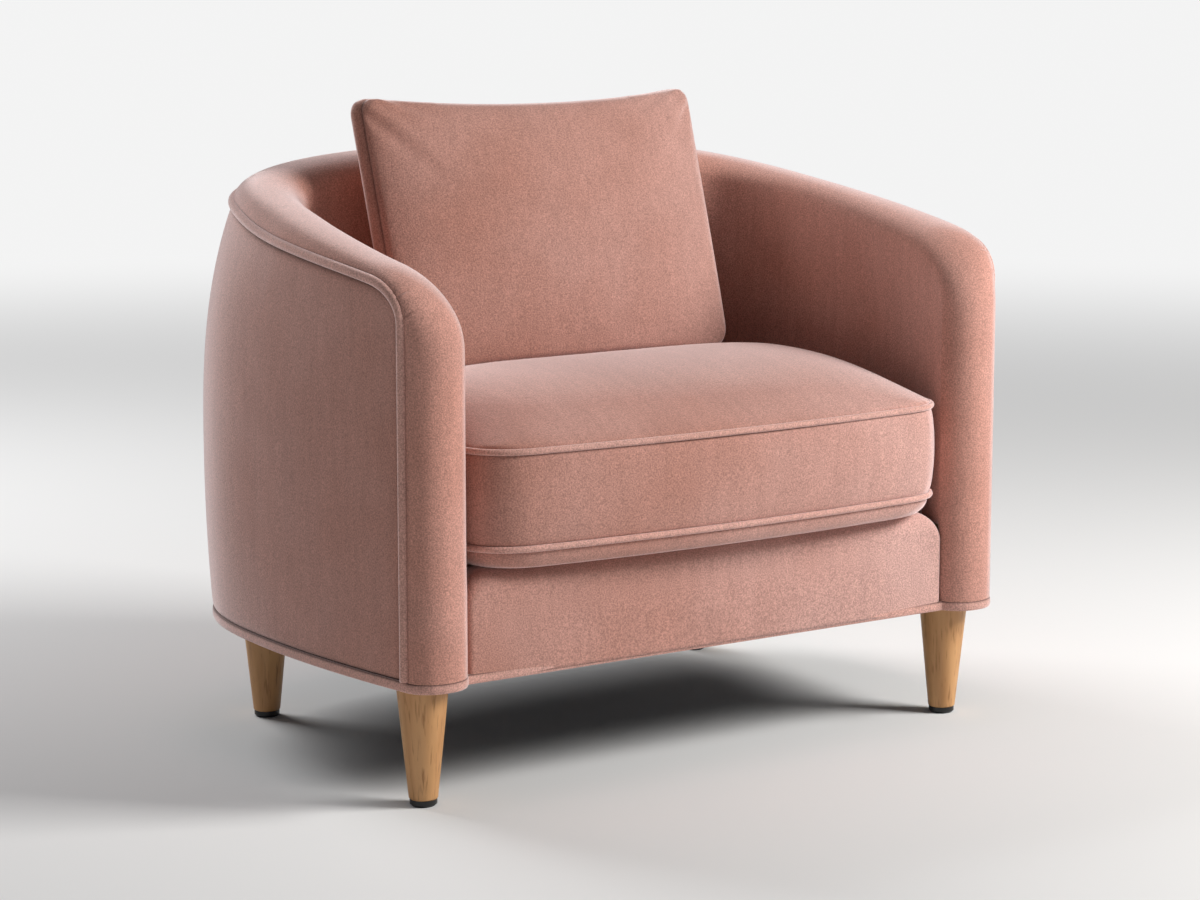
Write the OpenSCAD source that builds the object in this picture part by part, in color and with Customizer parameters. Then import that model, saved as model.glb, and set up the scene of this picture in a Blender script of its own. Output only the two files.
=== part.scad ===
// Barrel lounge chair: a padded shell on four turned legs, with a loose seat cushion and a loose back cushion.
// X runs across the chair, the front faces -Y, and Z is up from the floor. All lengths are millimetres.

/* [Shell] */
// Width of the shell at its widest
shell_w = 920; // [900:1:950]
// Width between the pipings at the front of the arms
front_w = 862; // [850:1:868]
// Y of the piping on the arm fronts
rim_y = -294; // [-297:1:-291]
// Y where the straight arms turn into the curved back
curve_y = -11; // [-20:1:0]
// Y of the back of the shell
back_y = 348; // [343:1:356]
// Fullness of the back curve: 2 is an ellipse, more is squarer
curve_power = 2.95; // [2.8:0.05:3.05]
// Underside of the shell above the floor
base_z = 144; // [120:1:170]
// Height above the shell's underside at which it is widest
widest_h = 207; // [195:1:220]
// Height of the piping above the shell's underside at the arm fronts
rim_front_h = 438; // [430:1:446]
// Height of the piping above the shell's underside at the back
rim_back_h = 547; // [540:1:556]
// How fast the rim climbs towards the back
rim_ease = 1.74; // [1.6:0.02:1.9]
// How far the middle of the rim swells above that climb
rim_swell = 4.5; // [0:0.5:8]
// Length of the arm's front upper corner, seen from the side
corner_r = 77; // [70:1:84]
// Height of the arm's front upper corner
corner_h = 56; // [50:1:62]
// How far the sides draw in at the base
base_inset = 8.4; // [5:0.1:10]
// How far the shell leans in at the top of the back
top_inset = 53; // [48:1:56]

/* [Padded roll and inner panel] */
// Width of the roll on the arms
roll_w = 79; // [77:1:81]
// Width of the roll at the back
roll_back_w = 130; // [126:1:134]
// Bulge of the roll on the arm fronts
roll_front_rise = 32; // [28:1:35]
// Rise of the roll above the piping on top
roll_rise = 28; // [25:1:31]
// Forward slope of the inner back, sideways per millimetre of height
inner_slope = 0.1; // [0.09:0.005:0.11]

/* [Covers and pipings] */
// Thickness of the outer cover with its wadding
outer_t = 4; // [3:0.5:5]
// Thickness of the inner covers with their wadding
cover_t = 3; // [2.5:0.5:4]
// Radius of the shell's piping
piping_r = 5.2; // [4.5:0.1:5.6]
// Height of the welt round the base
band_h = 12; // [10:1:14]
// How far the base welt stands out
band_t = 4; // [3:0.5:5]

/* [Frame] */
// Thickness of the plywood base
base_t = 18; // [15:1:20]
// Height of the seat rails
rail_h = 82; // [78:1:84]
// Thickness of the seat rails
rail_t = 25; // [22:1:28]
// Thickness of the arm front boards
board_t = 18; // [15:1:20]
// Thickness of the foam on the inside of the arms and back
inner_foam_t = 32; // [28:1:34]
// Thickness of each rib
rib_t = 15; // [12:1:18]
// How far the front rail stands behind the front panel's face
rail_back = 25; // [22:1:30]
// How far the rear rail stands behind the foot of the inner back
rail_under = 4.9; // [0:0.1:8]
// Border of plywood inside the side rails, round the spring window
window_border = 22; // [15:1:30]
// Border of plywood beside the front and rear rails, round the spring window
window_lip = 12; // [8:1:20]

/* [Front panel and deck] */
// How far the front panel's face stands in front of the arm fronts' piping
panel_out = 9; // [7:1:11]
// Thickness of the deck's padding under the seat cushion
deck_t = 18.9; // [15:0.1:25]
// Radius of the front panel's upper corners
panel_corner = 38; // [30:1:45]
// Number of zigzag springs
springs = 5; // [4:1:6]
// Spacing of the springs
spring_pitch = 118; // [100:1:120]
// Spring wire diameter
wire_d = 3.4; // [3:0.1:3.8]

/* [Legs] */
// Height of a glide
glide_h = 8; // [6:0.5:10]
// Diameter of a leg at the glide
leg_bottom_d = 34; // [30:1:38]
// Diameter of a leg at the top
leg_top_d = 61; // [54:1:61]
// Distance of the front legs inwards from the pipings at the arm fronts
front_leg_in = 42; // [40:1:44]
// Distance of the front legs behind the pipings at the arm fronts
front_leg_back = 31; // [29:1:33]
// Distance of the rear legs inwards from the shell's side
rear_leg_in = 122; // [118:1:130]
// Distance of the rear legs before the shell's back
rear_leg_fore = 140; // [136:1:146]
// Diameter of the hanger bolts
bolt_d = 8; // [8:1:10]

/* [Seat cushion] */
// Room between the seat cushion's sides and the inner panel, its pipings included
seat_gap = 10; // [6:0.5:13]
// How far the seat cushion's front corners stand out over the front panel
seat_overhang = 20; // [16:0.5:22]
// Forward bow of the seat cushion's front
seat_bow = 21; // [14:1:23]
// Room between the seat cushion and the inner back, its zip included
seat_back_gap = 19.3; // [18:0.1:28]
// Corner radius at the front of the seat cushion
seat_corner_r = 55; // [46:1:62]
// Corner radius at the back of the seat cushion
seat_rear_r = 150; // [140:1:170]
// Height of the seat's lower piping above the deck
seat_sole = 26; // [22:1:28]
// Height of the side band between the seat's pipings
seat_band = 112; // [108:1:114]
// Crown of the seat above its upper piping
seat_crown = 65; // [58:1:68]
// Bulge of the seat cushion's side
seat_bulge = 5; // [3:0.5:5]
// Radius of the seat cushion's pipings
seat_piping_r = 4.5; // [4:0.1:4.8]

/* [Back cushion] */
// Distance between the shell's outside and the back cushion, on each side
pillow_side = 214; // [210:1:220]
// How much narrower the back cushion is at its foot, on each side
pillow_taper = 8; // [4:1:10]
// Length of the back cushion along its slope
pillow_h = 350; // [338:1:354]
// Lean of the back cushion from upright, in degrees
pillow_lean = 17.1; // [16.5:0.1:18]
// Depth of the strip between its two faces
pillow_strip = 39; // [36:1:42]
// Crown of its front face
pillow_crown = 36; // [30:1:38]
// Crown of its rear face
pillow_back_crown = 52; // [46:1:53]
// Height of its lower front seam above the seat's upper piping
pillow_sit = 48; // [47:1:51]
// Room between its rear face and the roll at the back
pillow_gap = 8.3; // [7:0.1:12]

/* [Hidden] */
$fn = 40;

// Gap between layers that touch in use
gap = 0.3;
side_steps = 10;
curve_steps = 9;
front_rows = 6;
roll_steps = 6;
wall_rows = 3;
outer_rows = 6;
floor_layer = 1.4;
plate_t = 3;
velvet = [0.72, 0.52, 0.48];
foam_yellow = [0.93, 0.87, 0.68];
plywood = [0.80, 0.66, 0.47];
beech = [0.83, 0.70, 0.53];
oak = [0.80, 0.62, 0.42];
steel = [0.62, 0.63, 0.65];
black = [0.08, 0.08, 0.08];
lining = [0.15, 0.15, 0.16];

// Powers of the shell's curves: how the sides bow out, how the wall leans in above, and the corner's roundness
side_power = 1.65;
lean_power = 2.75;
corner_power = 2.3;
// Distance behind the arm's front over which the wall starts to draw in
draw_run = 460;

half_w = shell_w / 2;
half_front = front_w / 2;
curve_depth = back_y - curve_y;
widest_z = base_z + widest_h;
rim_front_z = base_z + rim_front_h;
rim_back_z = base_z + rim_back_h;
panel_y = rim_y - panel_out;
foam_c = cover_t + gap;
frame_z = base_z + plate_t;
board_z = frame_z + base_t;
rail_z = board_z + rail_h;
wire_z = rail_z + wire_d / 2;
cloth_z = rail_z + 5.5;
cloth_t = 0.6;
tuck_z = cloth_z + cloth_t + gap;
pad_z = cloth_z + cloth_t;
deck_z = pad_z + deck_t;
seat_z = deck_z + gap;
front_leg_x = half_front - front_leg_in;
front_leg_y = rim_y + front_leg_back;
rear_leg_x = half_w - rear_leg_in;
rear_leg_y = back_y - rear_leg_fore;
rail_y = panel_y + rail_back;
// Y of the inner back's face in the middle, at a height
function inner_back_y(z) = back_y - top_inset - roll_back_w - inner_slope * (rim_back_z - z);
rear_rail_y = inner_back_y(board_z) + rail_under;
// The side rails stand inside the front legs' nuts, and clear of the ribs
nut_room = 39;
rib_room = 112;
side_rail_x = min(front_leg_x - nut_room, half_w - rib_room);

function lerp(a, b, t) = a + (b - a) * t;
function clamp01(t) = max(0, min(1, t));
function smooth(t) = let (c = clamp01(t)) c * c * (3 - 2 * c);
function unit(v) = v / norm(v);
function last(v) = v[len(v) - 1];

// Half of the shell's outline at its widest height, from the right arm's front to the middle of the back:
// a side that bows out by a power, then a quarter of a superellipse.
half_plan = concat(
    [for (j = [0:side_steps - 1])
        let (y = lerp(rim_y, curve_y, pow(j / side_steps, 1.5)))
        [half_w - (half_w - half_front) * pow((curve_y - y) / (curve_y - rim_y), side_power), y]],
    [for (k = [0:curve_steps])
        let (a = 90 * k / curve_steps)
        [half_w * pow(cos(a), 2 / curve_power), curve_y + curve_depth * pow(sin(a), 2 / curve_power)]]
);
half_n = len(half_plan) - 1;
// Distance along the outline from the arm's front
run = [for (i = 0, s = 0; i <= half_n;
            s = s + (i < half_n ? norm(half_plan[i + 1] - half_plan[i]) : 0), i = i + 1) s];
full_run = last(run);
// The outline turns square to the front over this distance
square_run = 130;
half_normals = [for (j = [0:half_n])
    j == half_n ? [0, 1] :
    let (t = unit(half_plan[j + 1] - half_plan[max(j - 1, 0)]))
    unit(lerp([1, 0], [t[1], -t[0]], smooth(run[j] / square_run)))];
stations = 2 * half_n;
function half_of(i) = min(i, stations - i);
function side_of(i) = i < half_n ? -1 : 1;
function plan(i) = let (p = half_plan[half_of(i)]) [side_of(i) * p[0], p[1]];
function normal(i) = let (n = half_normals[half_of(i)]) [side_of(i) * n[0], n[1]];
function share(i) = run[half_of(i)] / full_run;

// Drop of the rim at the arm's front corner, a distance behind the front: a quarter of a superellipse
function corner_drop(d) = let (a = clamp01(d / corner_r))
    corner_h * (1 - pow(1 - pow(1 - a, corner_power), 1 / corner_power));
// Height of the rim at a station: a slow climb to the back with a swell, less the front corner
function rim_z(i) = rim_front_z + (rim_back_z - rim_front_z) * (1 - pow(1 - share(i), rim_ease))
    + 4 * rim_swell * share(i) * (1 - share(i)) - corner_drop(run[half_of(i)]);
// The wall draws in below and above its widest height, more and more behind the arm's front
function wall_inset(i, z) = smooth(run[half_of(i)] / draw_run) * (z < widest_z
    ? base_inset * pow((widest_z - z) / (widest_z - base_z), 2)
    : top_inset * pow((z - widest_z) / (rim_back_z - widest_z), lean_power));
function wall_point(i, z, depth) = let (p = plan(i), n = normal(i), d = wall_inset(i, z) + depth)
    [p[0] - n[0] * d, p[1] - n[1] * d, z];

// Frames along the rim: up the left arm's front, over the top and down the right front.
// Each is [place, direction inwards, direction out of the roll, share of the way to the back].
rim_places = concat(
    [for (r = [0:front_rows - 1]) wall_point(0, lerp(frame_z, rim_z(0), r / front_rows), 0)],
    [for (i = [0:stations]) wall_point(i, rim_z(i), 0)],
    [for (r = [front_rows - 1:-1:0]) wall_point(stations, lerp(frame_z, rim_z(0), r / front_rows), 0)]
);
rim_count = len(rim_places);
function rim_station(k) = max(0, min(stations, k - front_rows));
function rim_frame(k) = let (
        i = rim_station(k),
        n = normal(i),
        inwards = [-n[0], -n[1], 0],
        along = rim_places[min(k + 1, rim_count - 1)] - rim_places[max(k - 1, 0)])
    [rim_places[k], inwards, unit(cross(inwards, along)), share(i)];
rim = [for (k = [0:rim_count - 1]) rim_frame(k)];

function roll_width(s) = roll_w + (roll_back_w - roll_w) * smooth((s - 0.35) / 0.5);
function rise(f) = lerp(roll_front_rise, roll_rise, clamp01(f[2][2]));
// A point of the roll's half ellipse, a layer of depth c below its surface: angle 0 is at the piping, 180 inside
function roll_point(f, a, c) = let (w = roll_width(f[3]) / 2)
    f[0] + f[1] * (w - (w - c) * cos(a)) + f[2] * ((rise(f) - c) * sin(a));
// A point of the inner wall, a layer of depth c behind its surface
function inner_lean(i) = inner_slope * smooth((share(i) - 0.5) / 0.35);
function inner_point(i, z, c) = let (
        top = wall_point(i, rim_z(i), roll_width(share(i)) - c),
        n = normal(i),
        d = inner_lean(i) * (rim_z(i) - z))
    [top[0] - n[0] * d, top[1] - n[1] * d, z];

// Closed sheet between two grids of the same size, given as lists of rows
module sheet(front, back) {
    rows = len(front);
    cols = len(front[0]);
    n = rows * cols;
    function at(r, c) = r * cols + c;
    edge = concat(
        [for (c = [0:cols - 1]) at(0, c)],
        [for (r = [1:rows - 1]) at(r, cols - 1)],
        [for (c = [cols - 2:-1:0]) at(rows - 1, c)],
        [for (r = [rows - 2:-1:1]) at(r, 0)]);
    m = len(edge);
    polyhedron(
        points = concat([for (row = front, p = row) p], [for (row = back, p = row) p]),
        faces = concat(
            [for (r = [0:rows - 2], c = [0:cols - 2]) each [
                [at(r, c), at(r + 1, c), at(r + 1, c + 1)],
                [at(r, c), at(r + 1, c + 1), at(r, c + 1)]]],
            [for (r = [0:rows - 2], c = [0:cols - 2]) each [
                [n + at(r, c), n + at(r + 1, c + 1), n + at(r + 1, c)],
                [n + at(r, c), n + at(r, c + 1), n + at(r + 1, c + 1)]]],
            [for (k = [0:m - 1]) let (a = edge[k], b = edge[(k + 1) % m]) each [
                [a, b, n + b], [a, n + b, n + a]]]));
}

// Closed solid through a list of rings of the same length, with flat ends
module loft(rings) {
    m = len(rings[0]);
    n = len(rings);
    polyhedron(
        points = [for (ring = rings, p = ring) p],
        faces = concat(
            [[for (k = [0:m - 1]) k]],
            [for (r = [0:n - 2], k = [0:m - 1]) let (q = (k + 1) % m) each [
                [r * m + k, (r + 1) * m + k, r * m + q],
                [(r + 1) * m + k, (r + 1) * m + q, r * m + q]]],
            [[for (k = [m - 1:-1:0]) (n - 1) * m + k]]));
}

// Closed solid through rings that shrink to a point at each end
module pod(first, rings, end) {
    m = len(rings[0]);
    n = len(rings);
    polyhedron(
        points = concat([first], [for (ring = rings, p = ring) p], [end]),
        faces = concat(
            [for (k = [0:m - 1]) [0, 1 + k, 1 + (k + 1) % m]],
            [for (r = [0:n - 2], k = [0:m - 1]) let (a = 1 + r * m, q = (k + 1) % m) each [
                [a + k, a + m + q, a + q], [a + k, a + m + k, a + m + q]]],
            [for (k = [0:m - 1]) let (a = 1 + (n - 1) * m) [a + k, n * m + 1, a + (k + 1) % m]]));
}

// Closed tube through a loop of places, with the ring's two directions at each
module loop_tube(places, outward, up, r, sides) {
    n = len(places);
    polyhedron(
        points = [for (i = [0:n - 1], s = [0:sides - 1]) let (a = 360 * s / sides)
            places[i] + (outward[i] * cos(a) + up * sin(a)) * r],
        faces = [for (i = [0:n - 1], s = [0:sides - 1]) let (
                j = (i + 1) % n, t = (s + 1) % sides,
                a = i * sides + s, b = i * sides + t, c = j * sides + t, d = j * sides + s)
            each [[a, b, c], [a, c, d]]]);
}

// Outline of the shell at its base, grown by g: the front panel's line, the arm fronts, the sides and the back
panel_back = rim_y - panel_y;
function front_angles(g) = let (stop = 180 - asin((panel_back + g) / (roll_front_rise + g)))
    concat([stop], [for (k = [roll_steps - 1:-1:0]) let (a = lerp(12, 180, k / roll_steps)) if (a < stop - 4) a], [0]);
function half_base(g) = let (w = roll_w / 2)
    concat(
        [for (a = front_angles(g))
            [half_front - w + (w + g) * cos(a), rim_y - (roll_front_rise + g) * sin(a)]],
        [for (i = [0:half_n]) if (i > 0) let (p = wall_point(stations - i, base_z, -g)) [p[0], p[1]]]);
function base_outline(g) = let (h = half_base(g))
    concat(h, [for (k = [len(h) - 2:-1:0]) [-h[k][0], h[k][1]]]);

// Points of a rounded rectangle between two corners, with its own radius at the low and the high end of Y
function rounded(lo, hi, r_low, r_high, steps = 6) = concat(
    [for (k = [0:steps]) let (a = 180 + 90 * k / steps) [lo[0] + r_low, lo[1] + r_low] + r_low * [cos(a), sin(a)]],
    [for (k = [0:steps]) let (a = 270 + 90 * k / steps) [hi[0] - r_low, lo[1] + r_low] + r_low * [cos(a), sin(a)]],
    [for (k = [0:steps]) let (a = 90 * k / steps) [hi[0] - r_high, hi[1] - r_high] + r_high * [cos(a), sin(a)]],
    [for (k = [0:steps]) let (a = 90 + 90 * k / steps) [lo[0] + r_high, hi[1] - r_high] + r_high * [cos(a), sin(a)]]);

leg_places = [
    [-front_leg_x, front_leg_y], [front_leg_x, front_leg_y],
    [-rear_leg_x, rear_leg_y], [rear_leg_x, rear_leg_y]];
plate_d = 58;
bolt_up = 10;
bolt_down = 40;

// Outline of the plywood base: it stays behind the arm fronts' foam and the front rail, and inside the outer cover
function half_board(g) = concat(
    [[half_front - roll_w + foam_c + gap, rail_y], [half_front - roll_w + foam_c + gap, rim_y + gap],
     [half_front - g, rim_y + gap]],
    [for (i = [1:half_n]) let (p = wall_point(stations - i, base_z, g)) [p[0], p[1]]]);
function board_outline(g) = let (h = half_board(g))
    concat(h, [for (k = [len(h) - 2:-1:0]) [-h[k][0], h[k][1]]]);

// Plywood base, cut to the shell's outline, with a window under the springs
screw_d = 4.5;
screw_head_h = 4;
plate_screw_d = 3;
plate_screw_r = plate_d / 2 - 7;
frame_screw_places = [for (sx = [-1, 1], t = [0.15, 0.5, 0.85])
    [sx * (side_rail_x + rail_t / 2), lerp(rail_y, rear_rail_y, t)]];
window_x = side_rail_x - window_border;
window_r = 40;
window_front = rail_y + rail_t + window_lip;
window_back = rear_rail_y - window_lip;
module base_board() {
    color(plywood)
    translate([0, 0, frame_z])
    difference() {
        linear_extrude(base_t) polygon(board_outline(outer_t + 1.5));
        translate([0, 0, -1]) linear_extrude(base_t + 2)
            polygon(rounded([-window_x, window_front], [window_x, window_back], window_r, window_r));
        for (p = leg_places) translate([p[0], p[1], -1]) {
            cylinder(h = base_t + 2, d = bolt_d + 3);
            for (a = [45:90:315]) rotate([0, 0, a]) translate([plate_screw_r, 0, 0])
                cylinder(h = 14, d = plate_screw_d + 0.1);
        }
        for (p = frame_screw_places) translate([p[0], p[1], -1]) {
            cylinder(h = base_t + 2, d = screw_d + 0.1);
            cylinder(h = screw_head_h + 1 + gap, d = 2 * screw_d + gap);
        }
    }
}

module front_rail() {
    color(beech) translate([-side_rail_x, rail_y, board_z]) cube([2 * side_rail_x, rail_t, rail_h]);
}

module rear_rail() {
    color(beech) translate([-side_rail_x, rear_rail_y, board_z]) cube([2 * side_rail_x, rail_t, rail_h]);
}

module side_rail(side) {
    start = rim_y + gap + board_t;
    color(beech)
    difference() {
        translate([side > 0 ? side_rail_x : -side_rail_x - rail_t, start, board_z])
            cube([rail_t, rear_rail_y + rail_t - start, rail_h]);
        for (p = frame_screw_places) translate([p[0], p[1], board_z - 1])
            cylinder(h = screw_l - base_t + 1 + gap, d = screw_d + 0.1);
    }
}
module side_rail_left() { side_rail(-1); }
module side_rail_right() { side_rail(1); }

// Triangular blocks glued into the four corners of the seat box
block_leg = 70;
block_h = 45;
module corner_blocks() {
    inner_front = rail_y + rail_t;
    color(beech)
    for (sx = [-1, 1], front = [0, 1])
        translate([sx * side_rail_x, front ? inner_front : rear_rail_y, board_z])
            linear_extrude(block_h)
                polygon([[0, 0], [-sx * block_leg, 0], [-sx * block_leg, (front ? 1 : -1) * 12],
                         [-sx * 12, (front ? 1 : -1) * block_leg], [0, (front ? 1 : -1) * block_leg]]);
}

// Plywood board behind each arm front: its upper edge follows the corner of the rim
board_out = half_front - outer_t - 1.8;
board_in = half_front - roll_w + cover_t + 6;
board_y = rim_y + gap;
function corner_z(y) = rim_front_z - corner_drop(y - rim_y);
module arm_board(side) {
    color(plywood)
    translate([side > 0 ? board_in : -board_out, 0, 0])
    rotate([90, 0, 90])
    linear_extrude(board_out - board_in)
        polygon(concat(
            [[board_y + board_t, board_z], [board_y, board_z]],
            [for (k = [0:4]) let (y = board_y + board_t * k / 4) [y, corner_z(y) - 4 - 10 * (1 - k / 4)]]));
}
module arm_board_left() { arm_board(-1); }
module arm_board_right() { arm_board(1); }

// Laminated rail that carries the rim from one arm board to the other
rail_drop = 24;
rim_rail_d = 36;
rim_rail_start = front_rows + 3;
module rim_rail() {
    color(plywood)
    loft([for (k = [rim_rail_start:rim_count - 1 - rim_rail_start]) let (f = rim[k])
        [for (c = [[piping_r + 0.8, -1], [rim_rail_d, -1],
                   [rim_rail_d, -rail_drop], [piping_r + 0.8, -rail_drop]])
            f[0] + f[1] * c[0] + f[2] * c[1]]]);
}

// Upright ribs from the base board to the rim rail, sawn to the wall's bulge outside and to the foam inside,
// with some play on both sides
rib_play = 5;
function rib_in(i, z) = wall_inset(i, rim_z(i)) + roll_width(share(i)) - foam_c - inner_foam_t - rib_play
    + inner_lean(i) * (rim_z(i) - z);
module rib(i) {
    p = plan(i);
    n = normal(i);
    top = rim_z(i) - rail_drop - 3;
    zs = [for (k = [0:5]) lerp(board_z, top, k / 5)];
    translate([p[0], p[1], 0])
    rotate([0, 0, atan2(-n[1], -n[0])])
    rotate([90, 0, 0])
    translate([0, 0, -rib_t / 2])
    linear_extrude(rib_t)
        polygon(concat(
            [for (z = zs) [wall_inset(i, z) + outer_t + rib_play / 2, z]],
            [[rib_in(i, top), top], [rib_in(i, board_z), board_z]]));
}
rib_stations = [7, 10, 13, 15, 17];
module shell_ribs() {
    color(plywood)
    for (i = rib_stations) {
        rib(i);
        rib(stations - i);
    }
}

// Screws that hold the rails down to the base board
screw_l = 60;
module frame_screws() {
    color(steel)
    for (p = frame_screw_places) translate([p[0], p[1], frame_z]) {
        cylinder(h = screw_head_h, d = 2 * screw_d);
        cylinder(h = screw_l, d = screw_d);
    }
}

// Flat zigzag of wire from the front rail to the rear rail
loops = 12;
spring_start = rail_y + 8;
loop_r = round((rear_rail_y + rail_t - 8 - spring_start) / loops * 5) / 10;
spring_end = spring_start + 2 * loop_r * loops;
bar = 28;
module zigzag() {
    for (k = [0:loops]) {
        y = spring_start + 2 * loop_r * k;
        translate([-bar / 2, y, 0]) rotate([0, 90, 0]) cylinder(h = bar, d = wire_d);
    }
    for (k = [0:loops - 1]) {
        sx = k % 2 == 0 ? 1 : -1;
        translate([sx * bar / 2, spring_start + 2 * loop_r * k + loop_r, 0])
            rotate([0, 0, sx > 0 ? -90 : 90])
                rotate_extrude(angle = 180) translate([loop_r, 0]) circle(d = wire_d);
    }
}
spring_xs = [for (k = [0:springs - 1]) (k - (springs - 1) / 2) * spring_pitch];
module springs() {
    color(steel) for (x = spring_xs) translate([x, 0, wire_z]) zigzag();
}

// Folded clips nailed over the springs' end bars
module spring_clips() {
    color(steel)
    for (x = spring_xs, y = [spring_start, spring_end])
        translate([x, y, rail_z])
            difference() {
                translate([-7, -6, 0]) cube([14, 12, 5]);
                translate([-8, 0, wire_d / 2]) rotate([0, 90, 0]) cylinder(h = 16, d = wire_d + 2 * gap);
                translate([-8, -wire_d / 2 - gap, -1]) cube([16, wire_d + 2 * gap, 1 + wire_d / 2]);
            }
}

// Two paper-wrapped wires clipped across the springs
tie_d = 2;
tie_over = 25;
module spring_tie_wires() {
    color(steel)
    for (k = [4, 8])
        translate([spring_xs[0] - tie_over, spring_start + 2 * loop_r * k, wire_z - wire_d / 2 - tie_d / 2 - 0.2])
            rotate([0, 90, 0]) cylinder(h = 2 * (tie_over - spring_xs[0]), d = tie_d);
}

// Outline of the deck inside the inner panel, shrunk by g
function deck_outline(g, front) = concat(
    [for (i = [0:stations]) let (p = inner_point(i, pad_z, -g)) if (p[1] > front) [p[0], p[1]]],
    [[inner_point(stations, pad_z, -g)[0], front], [inner_point(0, pad_z, -g)[0], front]]);
cloth_back = 5;
module deck_cloth() {
    color(lining) translate([0, 0, cloth_z]) linear_extrude(cloth_t) polygon(deck_outline(cover_t + 1, rail_y + cloth_back));
}
module deck_pad() {
    color(foam_yellow) translate([0, 0, pad_z]) linear_extrude(deck_z - pad_z)
        polygon(deck_outline(1, panel_y + panel_depth));
}

// Foam roll on the rim, with a D section, from one arm front over the back to the other
module roll_foam() {
    color(foam_yellow)
    loft([for (f = rim) concat(
        [f[0] + f[1] * (piping_r + 0.8)],
        [for (k = [1:roll_steps - 1]) roll_point(f, lerp(roll_start, roll_stop, k / roll_steps), foam_c)],
        [f[0] + f[1] * (roll_width(f[3]) - foam_c)])]);
}

// Foam on the inside of the arms and back, from the deck to the roll
module inner_foam() {
    zs = function(i, r) lerp(tuck_z, rim_z(i) - 1.5, r / wall_rows);
    color(foam_yellow)
    sheet(
        [for (r = [0:wall_rows]) [for (i = [3:stations - 3]) inner_point(i, zs(i, r), foam_c)]],
        [for (r = [0:wall_rows]) [for (i = [3:stations - 3]) inner_point(i, zs(i, r), foam_c + inner_foam_t)]]);
}

// A block with the front panel's shape, shrunk by g, through rings from its back to its face: its upper corners
// are round, and its edge is rounded widely along the top and narrowly at the sides
panel_half = half_front - roll_w - 0.5;
panel_depth = 45;
edge_top = 24;
edge_side = 8;
corner_steps = 6;
// Half of a ring: each point is [its x, its height, the radius of the edge there], d inside the outline
function panel_edge(a) = lerp(edge_side, edge_top, smooth(a / 90));
function half_panel(g, b, low) = concat(
    [let (d = g + (edge_side - g) * (1 - cos(b))) [panel_half - d, low, edge_side]],
    [for (k = [0:corner_steps]) let (
            a = 90 * k / corner_steps, e = panel_edge(a), d = g + (e - g) * (1 - cos(b)))
        [panel_half - panel_corner + (panel_corner - d) * cos(a),
         deck_z - panel_corner + (panel_corner - d) * sin(a), e]]);
function panel_ring(g, b, low) = let (
        h = half_panel(g, b, low),
        whole = concat(h, [for (k = [len(h) - 1:-1:0]) [-h[k][0], h[k][1], h[k][2]]]))
    [for (p = whole) [p[0], panel_y + p[2] - (p[2] - g) * sin(b), p[1]]];
module panel_block(g, back, low) {
    loft(concat(
        [[for (p = panel_ring(g, 0, low)) [p[0], back, p[2]]]],
        [for (b = [0:22.5:90]) panel_ring(g, b, low)]));
}
module rail_space() {
    translate([-half_w, rail_y - gap, frame_z - 1]) cube([shell_w, 2 * panel_depth, tuck_z - frame_z + 1]);
}
// Rows of the panel's fabric, shrunk by g: the foot of the face, the rounded edge, and the back edge, which
// stops before the front rail below the deck
foot_in = 6;
foot_up = 1;
function panel_rows(g) = concat(
    [let (w = panel_half - edge_side - foot_in, n = 2 * corner_steps + 3)
        [for (k = [0:n]) [lerp(w, -w, k / n), panel_y + g, frame_z + foot_up]]],
    [for (b = [90:-22.5:0]) panel_ring(g, b, frame_z)],
    [[for (p = panel_ring(g, 0, frame_z))
        [p[0], p[2] > tuck_z + gap ? panel_y + panel_depth - gap : rail_y - gap, p[2]]]]);
module front_panel() {
    color(velvet) sheet(panel_rows(cover_t), panel_rows(0));
}
module front_foam() {
    color(foam_yellow)
    difference() {
        panel_block(foam_c, panel_y + panel_depth - gap, frame_z);
        rail_space();
    }
}

// Fabric on the outside of the shell, from under the base to the piping
seam_r = piping_r + 1;
function seam_z(i) = let (j = half_of(i), step = run[max(j, 1)] - run[max(j, 1) - 1])
    rim_z(i) - (j == 0 ? 1 : seam_r * norm([step, rim_z(j) - rim_z(j - 1)]) / step);
module outer_cover() {
    zs = function(i, r) lerp(frame_z, seam_z(i), r / outer_rows);
    at = function(i, z, depth) wall_point(i, z, depth) + (half_of(i) == 0 ? [0, seam_r, 0] : [0, 0, 0]);
    color(velvet)
    sheet(
        [for (r = [0:outer_rows]) [for (i = [stations:-1:0]) at(i, zs(i, r), 0)]],
        [for (r = [0:outer_rows]) [for (i = [stations:-1:0]) at(i, zs(i, r), outer_t)]]);
}

// Fabric over the roll, from the piping to the inner panel's seam
roll_start = 16;
roll_stop = 178;
module roll_cover() {
    angles = [for (k = [0:roll_steps]) lerp(roll_start, roll_stop, k / roll_steps)];
    color(velvet)
    sheet(
        [for (a = angles) [for (k = [rim_count - 1:-1:0]) roll_point(rim[k], a, 0)]],
        [for (a = angles) [for (k = [rim_count - 1:-1:0]) roll_point(rim[k], a, cover_t)]]);
}

// Fabric on the inside of the arms and back, tucked in at the deck
module inner_panel() {
    zs = function(i, r) lerp(tuck_z, rim_z(i) - 2 * gap, r / wall_rows);
    color(velvet)
    sheet(
        [for (r = [0:wall_rows]) [for (i = [0:stations]) inner_point(i, zs(i, r), 0)]],
        [for (r = [0:wall_rows]) [for (i = [0:stations]) inner_point(i, zs(i, r), cover_t)]]);
}

// Piping along the whole rim, sewn between the outer cover and the roll
module shell_piping() {
    color(velvet)
    loft([for (k = [0:rim_count - 1]) let (f = rim[k])
        [for (a = [0:60:300]) (k == 0 || k == rim_count - 1 ? [f[0][0], f[0][1], base_z + band_h + gap] : f[0])
            + (f[2] * cos(a) + f[1] * sin(a)) * piping_r]]);
}

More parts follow.
